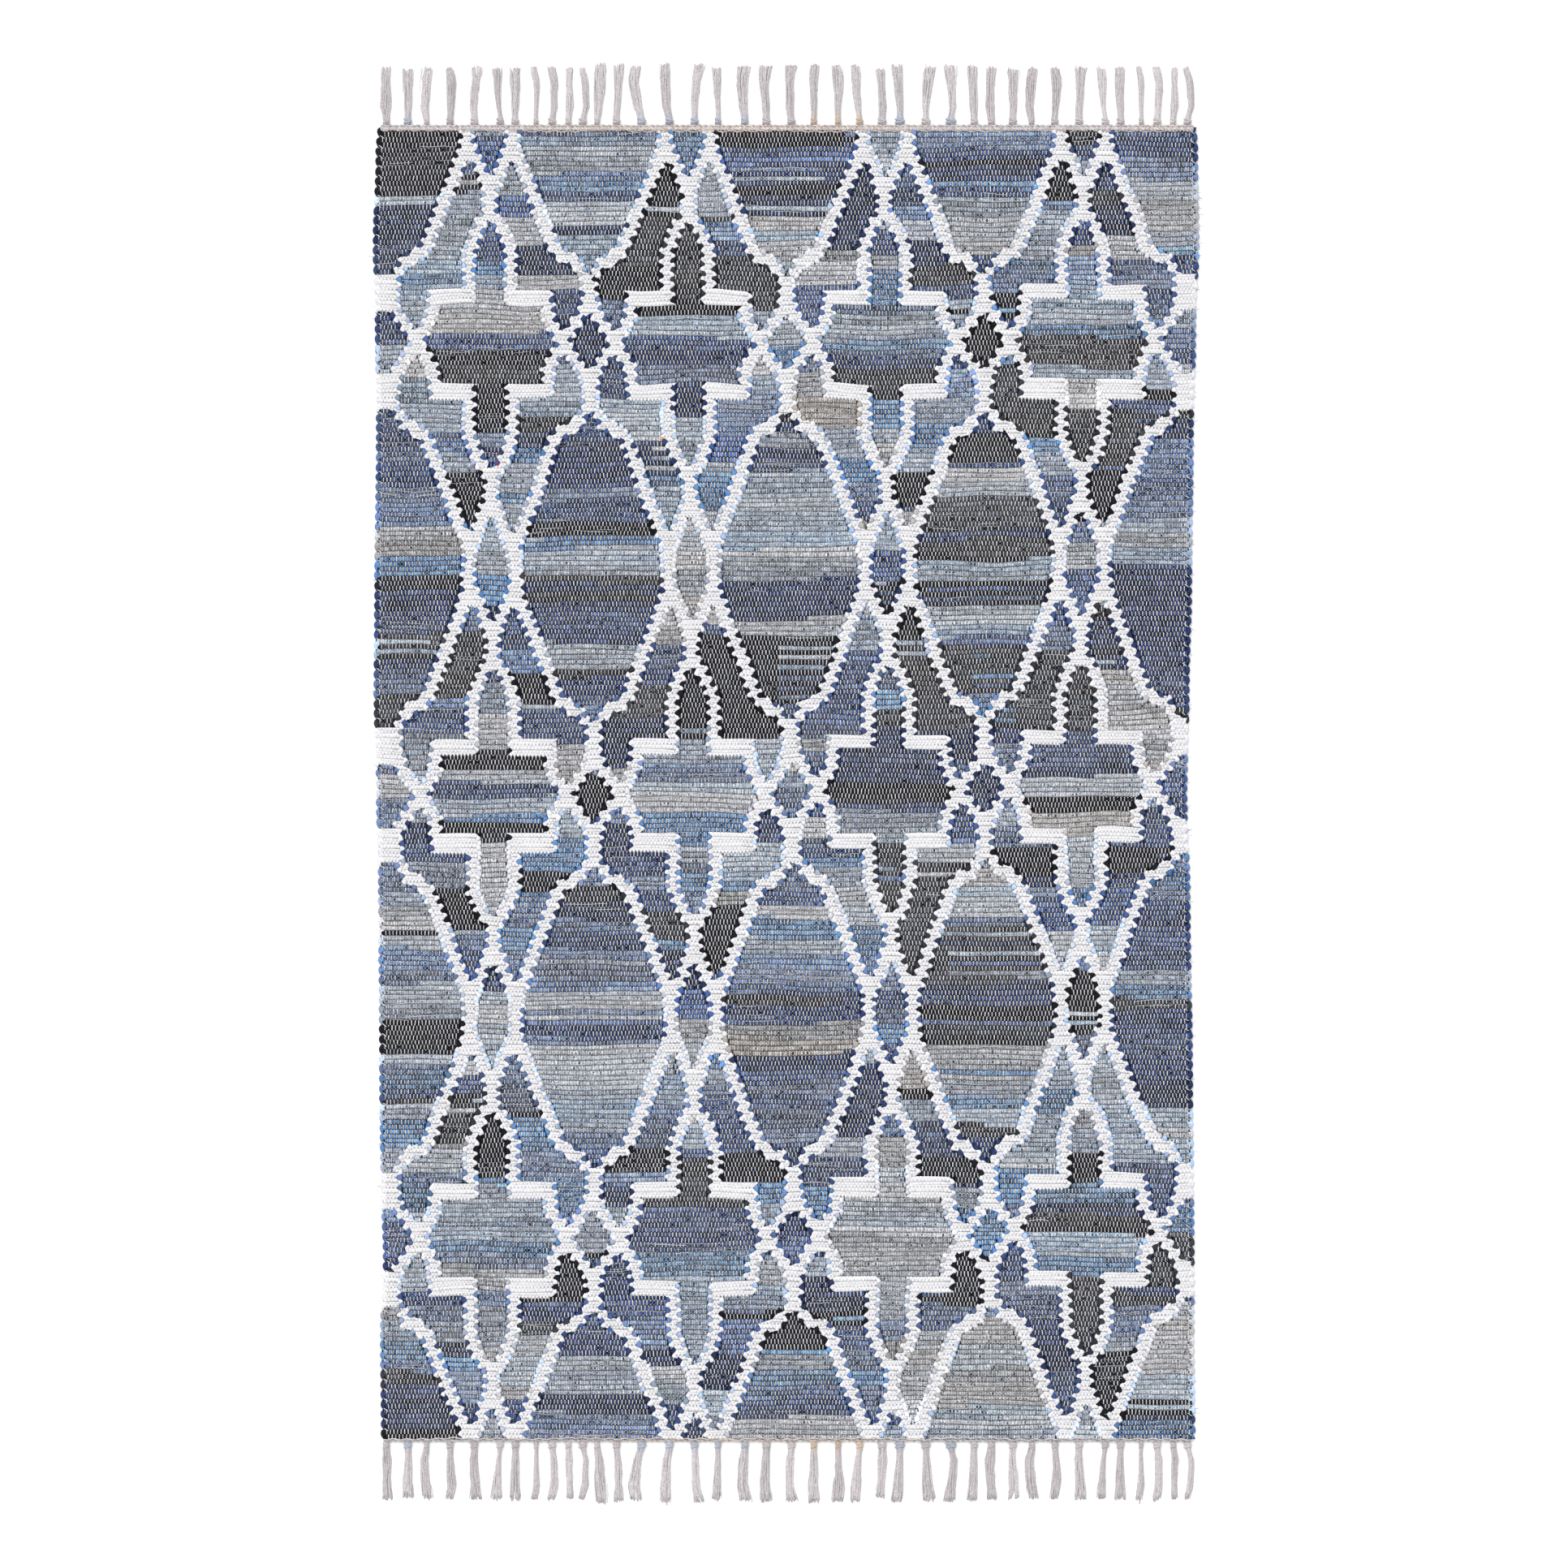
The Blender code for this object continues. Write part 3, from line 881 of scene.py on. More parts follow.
def weave_rows(name, first, last):
    points, faces, caps, colours, weave = [], [], [], [], []
    cap_colours, cap_weave = [], []
    count = 0
    for row in range(first, last):
        low, high, full, owner = row_rings(row)
        share = (SECTION_PLACE + 1) / 2
        x = low[:, None] * (1 - share) + high[:, None] * share
        y = row_line(x, row) * (1 - share) + row_line(x, row + 1) * share
        z = np.where(SECTION_HEIGHT > 1 * MM, SECTION_HEIGHT + thickness_wave(x, y) - 0.15 * MM, SECTION_HEIGHT)
        white = np.array([laid_rows[row][o].white for o in [*owner, owner[-1]]])
        z = np.where(white[:, None] & (SECTION_HEIGHT == VALLEY), z + WHITE_FILL, z)
        z = SELVEDGE_MIDDLE + (z - SELVEDGE_MIDDLE) * full[:, None]
        rings = len(low)
        points.append(np.stack([x, y, z], axis=-1).reshape(-1, 3))
        ring = np.arange(rings - 1)[:, None] * 6 + count
        ahead = ring + 6
        k = np.arange(6)[None, :]
        n = (k + 1) % 6
        faces.append(np.stack([ring + k, ring + n, ahead + n, ahead + k], axis=-1).reshape(-1, 4)[:, ::-1])
        stretches = laid_rows[row]
        marks = [COTTON_MARK if s.white else s.fray for s in stretches]
        tone = np.array([(*stretches[o].colour, marks[o]) for o in owner])
        colours.append(np.repeat(tone, 24, axis=0))
        u = (warp_count(x, y) - row % 2) / 2
        beneath = (k >= 3) & (k <= 5)
        v_here = np.broadcast_to(row + share, x.shape)
        at = np.arange(rings - 1)[:, None]
        corner_u = np.stack([u[at, k], u[at, n], u[at + 1, n], u[at + 1, k]], -1)
        corner_v = np.stack([v_here[at, k], v_here[at, n], v_here[at + 1, n], v_here[at + 1, k]], -1)
        corner_v = corner_v + UNDERSIDE_ROWS * beneath[:, :, None]
        pair = np.stack([corner_u, corner_v], -1)[:, :, ::-1]
        weave.append(pair.reshape(-1, 2))
        caps.append(np.array([[count + 5, count + 4, count + 3, count + 2, count + 1, count]])[:, ::-1])
        caps.append(np.array([np.arange(6) + count + 6 * (rings - 1)])[:, ::-1])
        for number in (0, -1):
            cap_colours.append(np.repeat(tone[number][None, :], 6, axis=0))
            cap_weave.append(np.full((6, 2), 0.5))
        count += 6 * rings
    piece = new_piece(name, np.concatenate(points), [np.concatenate(faces), np.concatenate(caps)],
                      woven_look)
    add_colours(piece, "tone", np.concatenate(colours + cap_colours))
    add_map(piece, "weave", np.concatenate(weave + cap_weave))
    return piece


half = ROWS // 2
weft_near = weave_rows("weft_near", 0, half)
weft_far = weave_rows("weft_far", half, ROWS)

# %% [markdown]
# Between the upper and the lower half of each strip runs the sheet of warp. It is the one piece that reaches
# over the whole rug. A grid is laid over the outline in its middle plane, and Solidify gives it the thickness
# of the warp.

# %% Sheet of warp
SHEET_HEIGHT = 1.5 * MM
SHEET_THICKNESS = 1.8 * MM
SHEET_INSET = 2.2 * MM
SHEET_COLUMNS = 12


def cotton_material(name, colour, dark, scale):
    look = Recipe(name)
    tone = look.add("Attribute", attribute_name="tone")
    place = look.add("TexCoord").outputs["Object"]
    fibre = look.noise(place, scale, 3.0, 0.6)
    shade = look.mix(look.step(fibre, 0.3, 0.7), dark, colour)
    # The alpha of the tone is painted shade at the foot of bars, bumps and knuckles; elsewhere it is 1.
    painted_foot_shade = tone.outputs["Alpha"]
    shade = look.mix(1.0, shade, look.add("CombineXYZ", painted_foot_shade, painted_foot_shade, painted_foot_shade).outputs[0], "MULTIPLY")
    cloth = look.mix(1.0, tone.outputs["Color"], shade, "MULTIPLY")
    look.bump(fibre, 0.3 * MM, 0.5)
    return look.finish(cloth, 0.92, 0.0)


cotton_look = cotton_material("warp_cotton", (1.0, 1.0, 1.0, 1.0), (0.80, 0.79, 0.79, 1.0), 900.0)

bpy.ops.object.select_all(action="DESELECT")
bpy.ops.mesh.primitive_grid_add(x_subdivisions=SHEET_COLUMNS, y_subdivisions=half, size=2.0)
warp_sheet = bpy.context.object
warp_sheet.name = "warp_sheet"
for vertex in warp_sheet.data.vertices:
    y = vertex.co.y * (HALF_LENGTH - 0.5 * MM)
    middle = (left_of(y) + right_of(y)) / 2
    reach = (right_of(y) - left_of(y)) / 2 - SHEET_INSET
    vertex.co = (middle + vertex.co.x * reach, y, SHEET_HEIGHT)
solidify = warp_sheet.modifiers.new("thickness", "SOLIDIFY")
solidify.thickness = SHEET_THICKNESS
solidify.offset = 1.0
bpy.ops.object.modifier_apply(modifier=solidify.name)
warp_sheet.data.materials.append(cotton_look)
add_colours(warp_sheet, "tone", np.tile((0.7, 0.68, 0.66, 1.0), (len(warp_sheet.data.loops), 1)))
add_bake_map(warp_sheet.data)
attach(warp_sheet, "root")
print("warp_sheet has", len(warp_sheet.data.polygons), "faces")

# %% [markdown]
# Where a warp thread passes over a strip it shows as a short white bar, shaped like a grain of rice. The next
# row shows the warps in between, so the bars stand in brick order. One bar is a long roof with hipped ends:
# eight triangles, copied by adding its corners to every place. Bars are left out where a strip turns, and some
# sink into the strip where its frayed threads cover them.

# %% White bars of warp
BAR_HALF_WIDTH = 0.68 * MM
BAR_OVERREACH = 0.98
# Painted shade: a bar's foot is darkened where it meets the strip.
BAR_FOOT_SHADE = 0.62
BAR_TONE = np.array([0.985, 0.98, 0.995])
BAR_FOOT = [(-1, -1, -0.2), (1, -1, -0.2), (1, 1, -0.2), (-1, 1, -0.2)]
BAR_RIDGE = [(0, -0.75, 1), (0, 0.75, 1)]
BAR_CORNERS = np.array(BAR_FOOT + BAR_RIDGE)
BAR_QUADS = np.array([(3, 2, 1, 0), (1, 2, 5, 4), (3, 0, 4, 5)])
BAR_ENDS = np.array([(0, 1, 4), (2, 3, 5)])
TURN_ROOM = 3.4 * MM
CLOSE_ROOM = 1.8 * MM
bar_dice = np.random.default_rng(51)


def bars_of_row(row):
    """Middle and fray of each bar in a row."""
    y = BODY_START + (row + 0.5) * PITCH
    number = np.arange(row % 2, WARPS, 2)
    x = warp_place((number + 0.5) / WARPS, y)
    stretches = laid_rows[row]
    starts = np.array([(s.low_start + s.high_start) / 2 for s in stretches])
    owner = np.clip(np.searchsorted(starts, x) - 1, 0, len(stretches) - 1)
    keep = (x > line_left[2 * row + 1] + TURN_ROOM * 1.6) & (x < line_right[2 * row + 1] - TURN_ROOM * 1.6)
    for before, after in zip(stretches, stretches[1:]):
        if before.white != after.white:
            beyond = x - (after.low_start + after.high_start) / 2
            room_left, room_right = (CLOSE_ROOM, TURN_ROOM) if before.white else (TURN_ROOM, CLOSE_ROOM)
            keep &= (beyond < -room_left) | (beyond > room_right)
    fray = np.array([s.fray for s in stretches])[owner]
    keep &= ~np.array([s.white for s in stretches])[owner]
    return x[keep], fray[keep]


def warp_bars(name, first, last):
    middles, half_lengths, frays = [], [], []
    for row in range(first, last):
        x, fray = bars_of_row(row)
        low = row_line(x, row)
        high = row_line(x, row + 1)
        y = (low + high) / 2
        z = CREST - 0.25 * MM + thickness_wave(x, y)
        middles.append(np.stack([x, y, z], axis=-1))
        half_lengths.append((high - low) / 2 * BAR_OVERREACH)
        frays.append(fray)
    middle = np.concatenate(middles)
    reach = np.concatenate(half_lengths)
    fray = np.concatenate(frays)
    count = len(middle)
    sink = np.where(bar_dice.uniform(0, 1, count) < fray * 0.6, bar_dice.uniform(0.15, 0.5, count), 0.0) * MM
    rise = bar_dice.uniform(0.5, 0.7, count) * MM - sink
    wide = BAR_HALF_WIDTH * bar_dice.uniform(0.82, 1.12, count)
    lean = bar_dice.normal(0, 0.06, count)
    local = np.tile(BAR_CORNERS, (count, 1, 1))
    local[:, :, 0] *= wide[:, None]
    local[:, :, 1] *= reach[:, None]
    local[:, :, 2] = local[:, :, 2] * rise[:, None] - sink[:, None] * 0.5
    local[:, :, 0] += local[:, :, 1] * lean[:, None]
    points = (middle[:, None, :] + local).reshape(-1, 3)
    base = 6 * np.arange(count)[:, None, None]
    quads = (base + BAR_QUADS[None]).reshape(-1, 4)
    ends = (base + BAR_ENDS[None]).reshape(-1, 3)
    piece = new_piece(name, points, [quads, ends], cotton_look)
    light = bar_dice.uniform(0.54, 0.88, count)
    tone_bars(piece, BAR_TONE * light[:, None], (BAR_QUADS, BAR_ENDS), BAR_FOOT_SHADE)
    return piece


def tone_bars(piece, tones, groups, foot_shade):
    """Each bar in its own tone, with painted shade at its foot. The first four corners of a bar are its foot.
    """
    tones = np.concatenate([tones, np.ones((len(tones), 1))], axis=1)
    corners = []
    for group in groups:
        corner = np.repeat(tones[:, None, :], group.size, axis=1)
        corner[:, :, 3] = np.where(group.ravel()[None, :] > 3, 1.0, foot_shade)
        corners.append(corner.reshape(-1, 4))
    add_colours(piece, "tone", np.concatenate(corners))


thirds = [0, ROWS // 3, 2 * ROWS // 3, ROWS]
bars = [warp_bars(f"warp_bars_{n + 1}", thirds[n], thirds[n + 1]) for n in range(3)]

# %% [markdown]
# The cotton weft is finer than the denim strips, so three shots of it fill the height of two rows of denim. The
# warp then shows as small round bumps in brick order, each a low pyramid on four corners, and the lattice looks
# knobbly and nearly flat.

# %% Bumps of the cotton lattice
BUMP_HALF = np.array([1.5, 1.75]) * MM
# Painted shade: a bump's foot is darkened where it meets the cotton.
BUMP_FOOT_SHADE = 0.80
BUMP_CORNERS = np.array([(-1, -1, -0.3), (1, -1, -0.3), (1, 1, -0.3), (-1, 1, -0.3), (0, 0, 1)])
BUMP_QUADS = np.array([(3, 2, 1, 0)])
BUMP_SIDES = np.array([(0, 1, 4), (1, 2, 4), (2, 3, 4), (3, 0, 4)])
BUMP_ROOM = 2.3 * MM


def bump_places():
    """Middle of every bump: where a warp crosses a shot of cotton, clear of the edges where it turns."""
    places = []
    for shot in range(int(ROWS * COTTON_ROWS)):
        line = (shot + 0.5) / COTTON_ROWS
        row = int(line)
        share = line - row
        y = BODY_START + line * PITCH
        x = warp_place((np.arange(shot % 2, WARPS, 2) + 0.5) / WARPS, y)
        x = x[(x > left_of(y) + TURN_ROOM * 1.6) & (x < right_of(y) - TURN_ROOM * 1.6)]
        for s in laid_rows[row]:
            start = s.low_start + (s.high_start - s.low_start) * share + BUMP_ROOM
            end = s.low_end + (s.high_end - s.low_end) * share - BUMP_ROOM
            inside = x[(x > start) & (x < end)]
            if s.white and len(inside):
                low = row_line(inside, row)
                middle_y = low + (row_line(inside, row + 1) - low) * share
                height = CREST - 0.25 * MM + thickness_wave(inside, middle_y)
                places.append(np.stack([inside, middle_y, height], axis=-1))
    return np.concatenate(places)


def cotton_bumps(name):
    dice = np.random.default_rng(53)
    places = bump_places()
    count = len(places)
    local = np.tile(BUMP_CORNERS, (count, 1, 1)).astype(float)
    local[:, :4, :2] += dice.uniform(-0.16, 0.16, (count, 4, 2))
    local[:, 4, :2] += dice.uniform(-0.3, 0.3, (count, 2))
    local[:, :, :2] *= BUMP_HALF * dice.uniform(0.88, 1.1, (count, 1, 2))
    local[:, :, 2] *= dice.uniform(0.45, 0.75, count)[:, None] * MM
    points = (places[:, None, :] + local).reshape(-1, 3)
    base = 5 * np.arange(count)[:, None, None]
    groups = [(base + group[None]).reshape(-1, group.shape[1]) for group in (BUMP_QUADS, BUMP_SIDES)]
    piece = new_piece(name, points, groups, cotton_look)
    tones = BAR_TONE * dice.uniform(0.84, 0.93, count)[:, None]
    tone_bars(piece, tones, (BUMP_QUADS, BUMP_SIDES), BUMP_FOOT_SHADE)
    return piece


lattice_bumps = cotton_bumps("lattice_bumps")

# %% [markdown]
# A strip that turns round the last warp of its colour makes a plump knuckle, two rows high, with no warp
# across it. One knuckle is modelled from a circle of six corners, drawn out to the shape of a D, extruded
# up and narrowed. Its copies are turned to the side that they bulge to, and take their strip's colour, with
# painted shade round their foot.

# %% Knuckles where the strips turn
KNUCKLE_OUTLINE = [(3.6, 0), (1.9, 2.5), (-2.4, 4.6), (-3.6, 0), (-2.4, -4.6), (1.9, -2.5)]
# Painted shade: how dark the foot of a denim knuckle and of a cotton knuckle is painted.
KNUCKLE_FOOT_SHADE = 0.30
WHITE_KNUCKLE_FOOT_SHADE = 0.92
WHITE_KNUCKLE_SIZE = 0.82
KNUCKLE_SETBACK = 2.7 * MM
KNUCKLE_BASE = -0.55 * MM
KNUCKLE_RISE = 1.1 * MM
KNUCKLE_NARROWING = 0.58
KNUCKLE_DROOP = 0.28

bpy.ops.object.select_all(action="DESELECT")
bpy.ops.mesh.primitive_circle_add(vertices=6, radius=1.0, fill_type="NGON")
knuckle = bpy.context.object
for vertex, (u, v) in zip(knuckle.data.vertices, KNUCKLE_OUTLINE):
    vertex.co = (u * MM, v * MM, KNUCKLE_BASE)
bpy.ops.object.mode_set(mode="EDIT")
bpy.ops.mesh.select_all(action="SELECT")
bpy.ops.mesh.normals_make_consistent(inside=False)
bpy.ops.mesh.extrude_region_move(TRANSFORM_OT_translate={"value": (0, 0, KNUCKLE_RISE)})
bpy.ops.transform.resize(value=(KNUCKLE_NARROWING, KNUCKLE_NARROWING, 1.0))
bpy.ops.mesh.select_all(action="SELECT")
bpy.ops.mesh.normals_make_consistent(inside=False)
bpy.ops.object.mode_set(mode="OBJECT")
knuckle_points = np.array([vertex.co[:] for vertex in knuckle.data.vertices])
knuckle_faces = [list(face.vertices) for face in knuckle.data.polygons]
knuckle_groups = [np.array([f for f in knuckle_faces if len(f) == size]) for size in (4, 6)]
bpy.data.objects.remove(knuckle)


def strip_turns():
    """Place, side, height, scale and colour of the knuckle at every line of every meeting of two colours."""
    found = []
    for row in range(1, ROWS):
        side = tooth_shift(row)
        below = laid_rows[row - 1]
        above = laid_rows[row]
        lower_edges = [(a.low_end, a.high_end, a, b) for a, b in zip(below, below[1:]) if a.white != b.white]
        upper_edges = [(a.low_end, a.high_end, a, b) for a, b in zip(above, above[1:]) if a.white != b.white]
        for _, x_below, left_below, right_below in lower_edges:
            match = [e for e in upper_edges if e[2].white == left_below.white and abs(e[0] - x_below) < 7 * MM]
            if not match:
                continue
            x_above = min(match, key=lambda e: abs(e[0] - x_below))[0]
            owner = left_below if side > 0 else right_below
            x = (x_below + x_above) / 2
            found.append((x, row, side, owner.colour, owner.white))
    return found


turn_dice = np.random.default_rng(61)


def copy_knuckles(name, turns, look):
    count = len(turns)
    x = np.array([t[0] for t in turns])
    line = np.array([t[1] for t in turns])
    side = np.array([t[2] for t in turns])
    y = np.array([float(row_line(a, b)) for a, b in zip(x, line)])
    angle = turn_dice.normal(0, 0.2, count) + np.where(side > 0, -KNUCKLE_DROOP, np.pi + KNUCKLE_DROOP)
    white = np.array([t[4] for t in turns])
    size = turn_dice.uniform(0.85, 1.15, count) * np.where(white, WHITE_KNUCKLE_SIZE, 1.0)
    plump = turn_dice.uniform(0.85, 1.35, count)
    local = np.tile(knuckle_points, (count, 1, 1)) * size[:, None, None]
    local[:, :, 2] *= (plump / size)[:, None]
    cos, sin = np.cos(angle)[:, None], np.sin(angle)[:, None]
    out, along, up = local[:, :, 0], local[:, :, 1], local[:, :, 2]
    turned = np.stack([out * cos - along * sin, out * sin + along * cos, up], axis=-1)
    middle = np.stack([x - side * KNUCKLE_SETBACK, y, np.full(count, CREST)], axis=-1)
    points = (middle[:, None, :] + turned).reshape(-1, 3)
    base = len(knuckle_points) * np.arange(count)[:, None, None]
    groups = [(base + group[None]).reshape(-1, group.shape[1]) for group in knuckle_groups]
    piece = new_piece(name, points, groups, look)
    tone = np.array([(*t[3], 1.0) for t in turns])
    # Painted shade round the foot of each knuckle, carried in the alpha of its tone.
    foot = np.where(white, WHITE_KNUCKLE_FOOT_SHADE, KNUCKLE_FOOT_SHADE)
    corners = []
    for group in knuckle_groups:
        corner = np.repeat(tone[:, None, :], group.size, axis=1)
        low = knuckle_points[group.ravel(), 2] < 0
        corner[:, :, 3] = np.where(low[None, :], foot[:, None], 1.0)
        corners.append(corner.reshape(-1, 4))
    add_colours(piece, "tone", np.concatenate(corners))
    return piece


turned_look = cotton_material("turned_strip", (1.15, 1.15, 1.15, 1.0), (0.62, 0.62, 0.64, 1.0), 650.0)
all_turns = strip_turns()
turns_denim = copy_knuckles("turns_denim", [t for t in all_turns if not t[4]], turned_look)
turns_cotton = copy_knuckles("turns_cotton", [t for t in all_turns if t[4]], cotton_look)

# %% [markdown]
# At the selvedges nothing presses the turning strip flat, so its knuckles are fuller. One is modelled from a
# ball, drawn out along the edge, and its copies are set wherever the frame's outline reaches furthest.

# %% Selvedge knuckles
EDGE_HALF = np.array([4.3, 5.7, 2.5]) * MM
EDGE_HEIGHT = 2.9 * MM
EDGE_LEAN = 0.20

bpy.ops.object.select_all(action="DESELECT")
bpy.ops.mesh.primitive_uv_sphere_add(segments=10, ring_count=6, radius=1.0)
ball = bpy.context.object
bpy.ops.object.mode_set(mode="EDIT")
bpy.ops.mesh.select_all(action="SELECT")
bpy.ops.transform.resize(value=tuple(EDGE_HALF))
bpy.ops.object.mode_set(mode="OBJECT")
ball_points = np.array([vertex.co[:] for vertex in ball.data.vertices])
ball_faces = [list(face.vertices) for face in ball.data.polygons]
ball_groups = [np.array([f for f in ball_faces if len(f) == size]) for size in (4, 3)]
bpy.data.objects.remove(ball)


def selvedge_knuckles(name):
    dice = np.random.default_rng(65)
    points, tones = [], []
    for line in range(1, ROWS):
        side = tooth_shift(line)
        stretch = laid_rows[line][-1] if side > 0 else laid_rows[line][0]
        reach = line_right[2 * line] if side > 0 else line_left[2 * line]
        size = dice.uniform(0.88, 1.08)
        x = reach - side * EDGE_HALF[0] * size * 0.94
        y = BODY_START + line * PITCH
        angle = EDGE_LEAN + dice.normal(0, 0.12)
        cos, sin = math.cos(angle), math.sin(angle)
        turn = np.array([(cos, -sin, 0), (sin, cos, 0), (0, 0, 1)])
        points.append(ball_points * (size, dice.uniform(0.9, 1.02), 1.0) @ turn.T + (x, y, EDGE_HEIGHT))
        tones.append((*stretch.colour, 1.0))
    base = len(ball_points) * np.arange(len(points))[:, None, None]
    groups = [(base + group[None]).reshape(-1, group.shape[1]) for group in ball_groups]
    piece = new_piece(name, np.concatenate(points), groups, turned_look)
    corners = [np.repeat(np.array(tones), group.size, axis=0) for group in ball_groups]
    add_colours(piece, "tone", np.concatenate(corners))
    return piece


edge_turns = selvedge_knuckles("edge_turns")

# %% [markdown]
# A yarn is a thin tube along a path. This helper sweeps many yarns at once: it sets a small ring of corners
# round every point of every path and joins the rings. The first and last ring are closed with a face.

# %% Yarn helper


def sweep(paths, radii, sides):
    """Corners and faces of tubes: paths is (yarns, points, 3), radii is (yarns, points)."""
    yarns, count, _ = paths.shape
    along = np.gradient(paths, axis=1)
    along /= np.linalg.norm(along, axis=2, keepdims=True)
    up = np.array([0.03, 0.02, 1.0])
    across = np.cross(along, up)
    across /= np.linalg.norm(across, axis=2, keepdims=True)
    over = np.cross(across, along)
    angle = 2 * np.pi * (np.arange(sides) + 0.5) / sides
    spread = across[:, :, None, :] * np.cos(angle)[None, None, :, None]
    spread = spread + over[:, :, None, :] * np.sin(angle)[None, None, :, None]
    points = paths[:, :, None, :] + spread * radii[:, :, None, None]
    start = (np.arange(yarns) * count * sides)[:, None, None]
    here = start + (np.arange(count - 1) * sides)[None, :, None]
    ahead = here + sides
    k = np.arange(sides)[None, None, :]
    n = (k + 1) % sides
    quads = np.stack([here + k, ahead + k, ahead + n, here + n], axis=-1).reshape(-1, 4)
    first = (start[:, :, 0] + np.arange(sides)[None, :]).reshape(-1, sides)
    last = first + (count - 1) * sides
    return points.reshape(-1, 3), [quads, first, last[:, ::-1]]


def yarn_piece(name, paths, radii, sides, tones, material):
    """Tubes as one piece. A yarn has one tone, or one for each step of its path."""
    points, groups = sweep(paths, radii, sides)
    piece = new_piece(name, points, groups, material)
    tones = np.asarray(tones, float)
    if tones.ndim == 2:
        tones = np.repeat(tones[:, None, :], paths.shape[1] - 1, axis=1)
    corners = [np.repeat(tones.reshape(-1, 4), 4 * sides, axis=0)]
    corners += [np.repeat(tones[:, 0], sides, axis=0), np.repeat(tones[:, -1], sides, axis=0)]
    add_colours(piece, "tone", np.concatenate(corners))
    return piece


# %% [markdown]
# The outermost warp shows as a thin slanted thread between one selvedge knuckle and the next.

# %% Outermost warps


def outermost_warps(name):
    dice = np.random.default_rng(67)
    paths = []
    for line in range(1, ROWS):
        side = -tooth_shift(line)
        edge = line_right[2 * line] if side > 0 else line_left[2 * line]
        y = BODY_START + line * PITCH
        t = np.linspace(-1, 1, 5)
        slant = dice.uniform(0.7, 1.3)
        x = edge - side * (3.4 + 2.6 * t) * MM
        z = EDGE_HEIGHT + (2.6 - 1.6 * np.clip(-t, 0, 1) ** 2) * MM
        paths.append(np.stack([x, y + side * 1.9 * t * slant * MM, z], axis=-1))
    paths = np.array(paths)
    tones = np.tile((0.82, 0.80, 0.78, 1.0), (len(paths), 1))
    return yarn_piece(name, paths, np.full(paths.shape[:2], 0.5 * MM), 3, tones, cotton_look)


edge_warps = outermost_warps("edge_warps")

# %% [markdown]
# The weave is held at both ends by a heading: cotton strands twined round each other between the warps. Two
# greyish strands wind round one line, half a turn apart, and a looser third one wavers over the first row. At
# the far end a beige pair is twined over that row as well, with a tighter twist.

# %% Twined headings
yarn_look = cotton_material("plain_yarn", (1.06, 1.06, 1.06, 1.0), (0.72, 0.71, 0.70, 1.0), 700.0)
TWINE_PITCH = 13.0 * MM
TWINE_RADIUS = 1.2 * MM
TWINE_SWAY = 1.0 * MM
TWINE_STEP = 2.0 * MM
PAIR_SPACING = 3.2 * MM
HEADING_INWARD = 1.0 * MM
TIGHTER = 1.6
HEADING_GREY = np.array([0.62, 0.57, 0.56])
HEADING_BEIGE = np.array([0.63, 0.565, 0.54])


def fringe_stations(name):
    points = node_points(name)
    points[:, 1] = abs(points[:, 1])
    return points, np.unique(points[:, 1].round(5))


def twined_heading(name, node, end, dice, rows):
    points, stations = fringe_stations(node)
    inner, outer = stations[:2]
    wall = points[abs(points[:, 1] - inner) < 0.1 * MM]
    x = np.arange(wall[:, 0].min() + TWINE_RADIUS, wall[:, 0].max() - TWINE_RADIUS, TWINE_STEP)
    turn = 2 * np.pi * x / TWINE_PITCH
    turn = turn + 0.9 * np.sin(x / 0.043) + 0.5 * np.sin(x / 0.017)
    middle = end * ((inner + outer) / 2 - HEADING_INWARD)
    paths, radii, tones = [], [], []
    for line in range(rows):
        for start in (0.0, np.pi):
            phase = turn * (1.0 if line == 0 else TIGHTER) + start
            y = middle - end * line * PAIR_SPACING + TWINE_SWAY * np.cos(phase)
            z = (2.3 * MM if line == 0 else CREST - 0.5 * MM) + TWINE_SWAY * np.sin(phase) * (1.0 - 0.4 * line)
            paths.append(np.stack([x, y, z], axis=-1))
            radii.append(TWINE_RADIUS * (1.0 + 0.15 * line))
            tones.append(HEADING_GREY if line == 0 else HEADING_BEIGE)
    waver = small_wave(x, np.full_like(x, 0.3 * end)) * 2.2 + 0.7 * MM * np.sin(turn * 0.8 + 1)
    y = end * (HALF_LENGTH - 0.8 * MM) - end * (rows - 1) * PAIR_SPACING + waver
    paths.append(np.stack([x, y, CREST - 0.3 * MM + 0.4 * MM * np.sin(turn * 0.8)], axis=-1))
    radii.append(0.75 * MM)
    tones.append((HEADING_GREY + HEADING_BEIGE) / 2)
    paths = np.array(paths)
    warm = np.sin(x / 0.11 + 2.2)[:-1, None] * np.array([0.02, 0.0, -0.02])
    tones = np.stack([tone + warm for tone in tones])
    tones *= dice.uniform(0.72, 1.15, tones.shape[:2])[:, :, None]
    tones = np.concatenate([tones, np.ones((*tones.shape[:2], 1))], axis=2)
    radii = np.tile(np.array(radii)[:, None], (1, len(x)))
    return yarn_piece(name, paths, radii, 5, tones, yarn_look)


heading_dice = np.random.default_rng(71)
heading_far = twined_heading("heading_far", "fringe_far", 1, heading_dice, 2)
heading_near = twined_heading("heading_near", "fringe_near", -1, heading_dice, 1)

# %% [markdown]
# Each lock of the fringe is thirteen warp yarns that leave the heading through a knot and lie on the
# floor. The frame's solid gives its course: at every station the lock's middle, width and height. The yarns
# are set round that flat bundle and twist slowly along it. Their cut ends are uneven, and finer fibres stick
# out past them. Where the dye has run, the foot of a lock is blue or rusty.

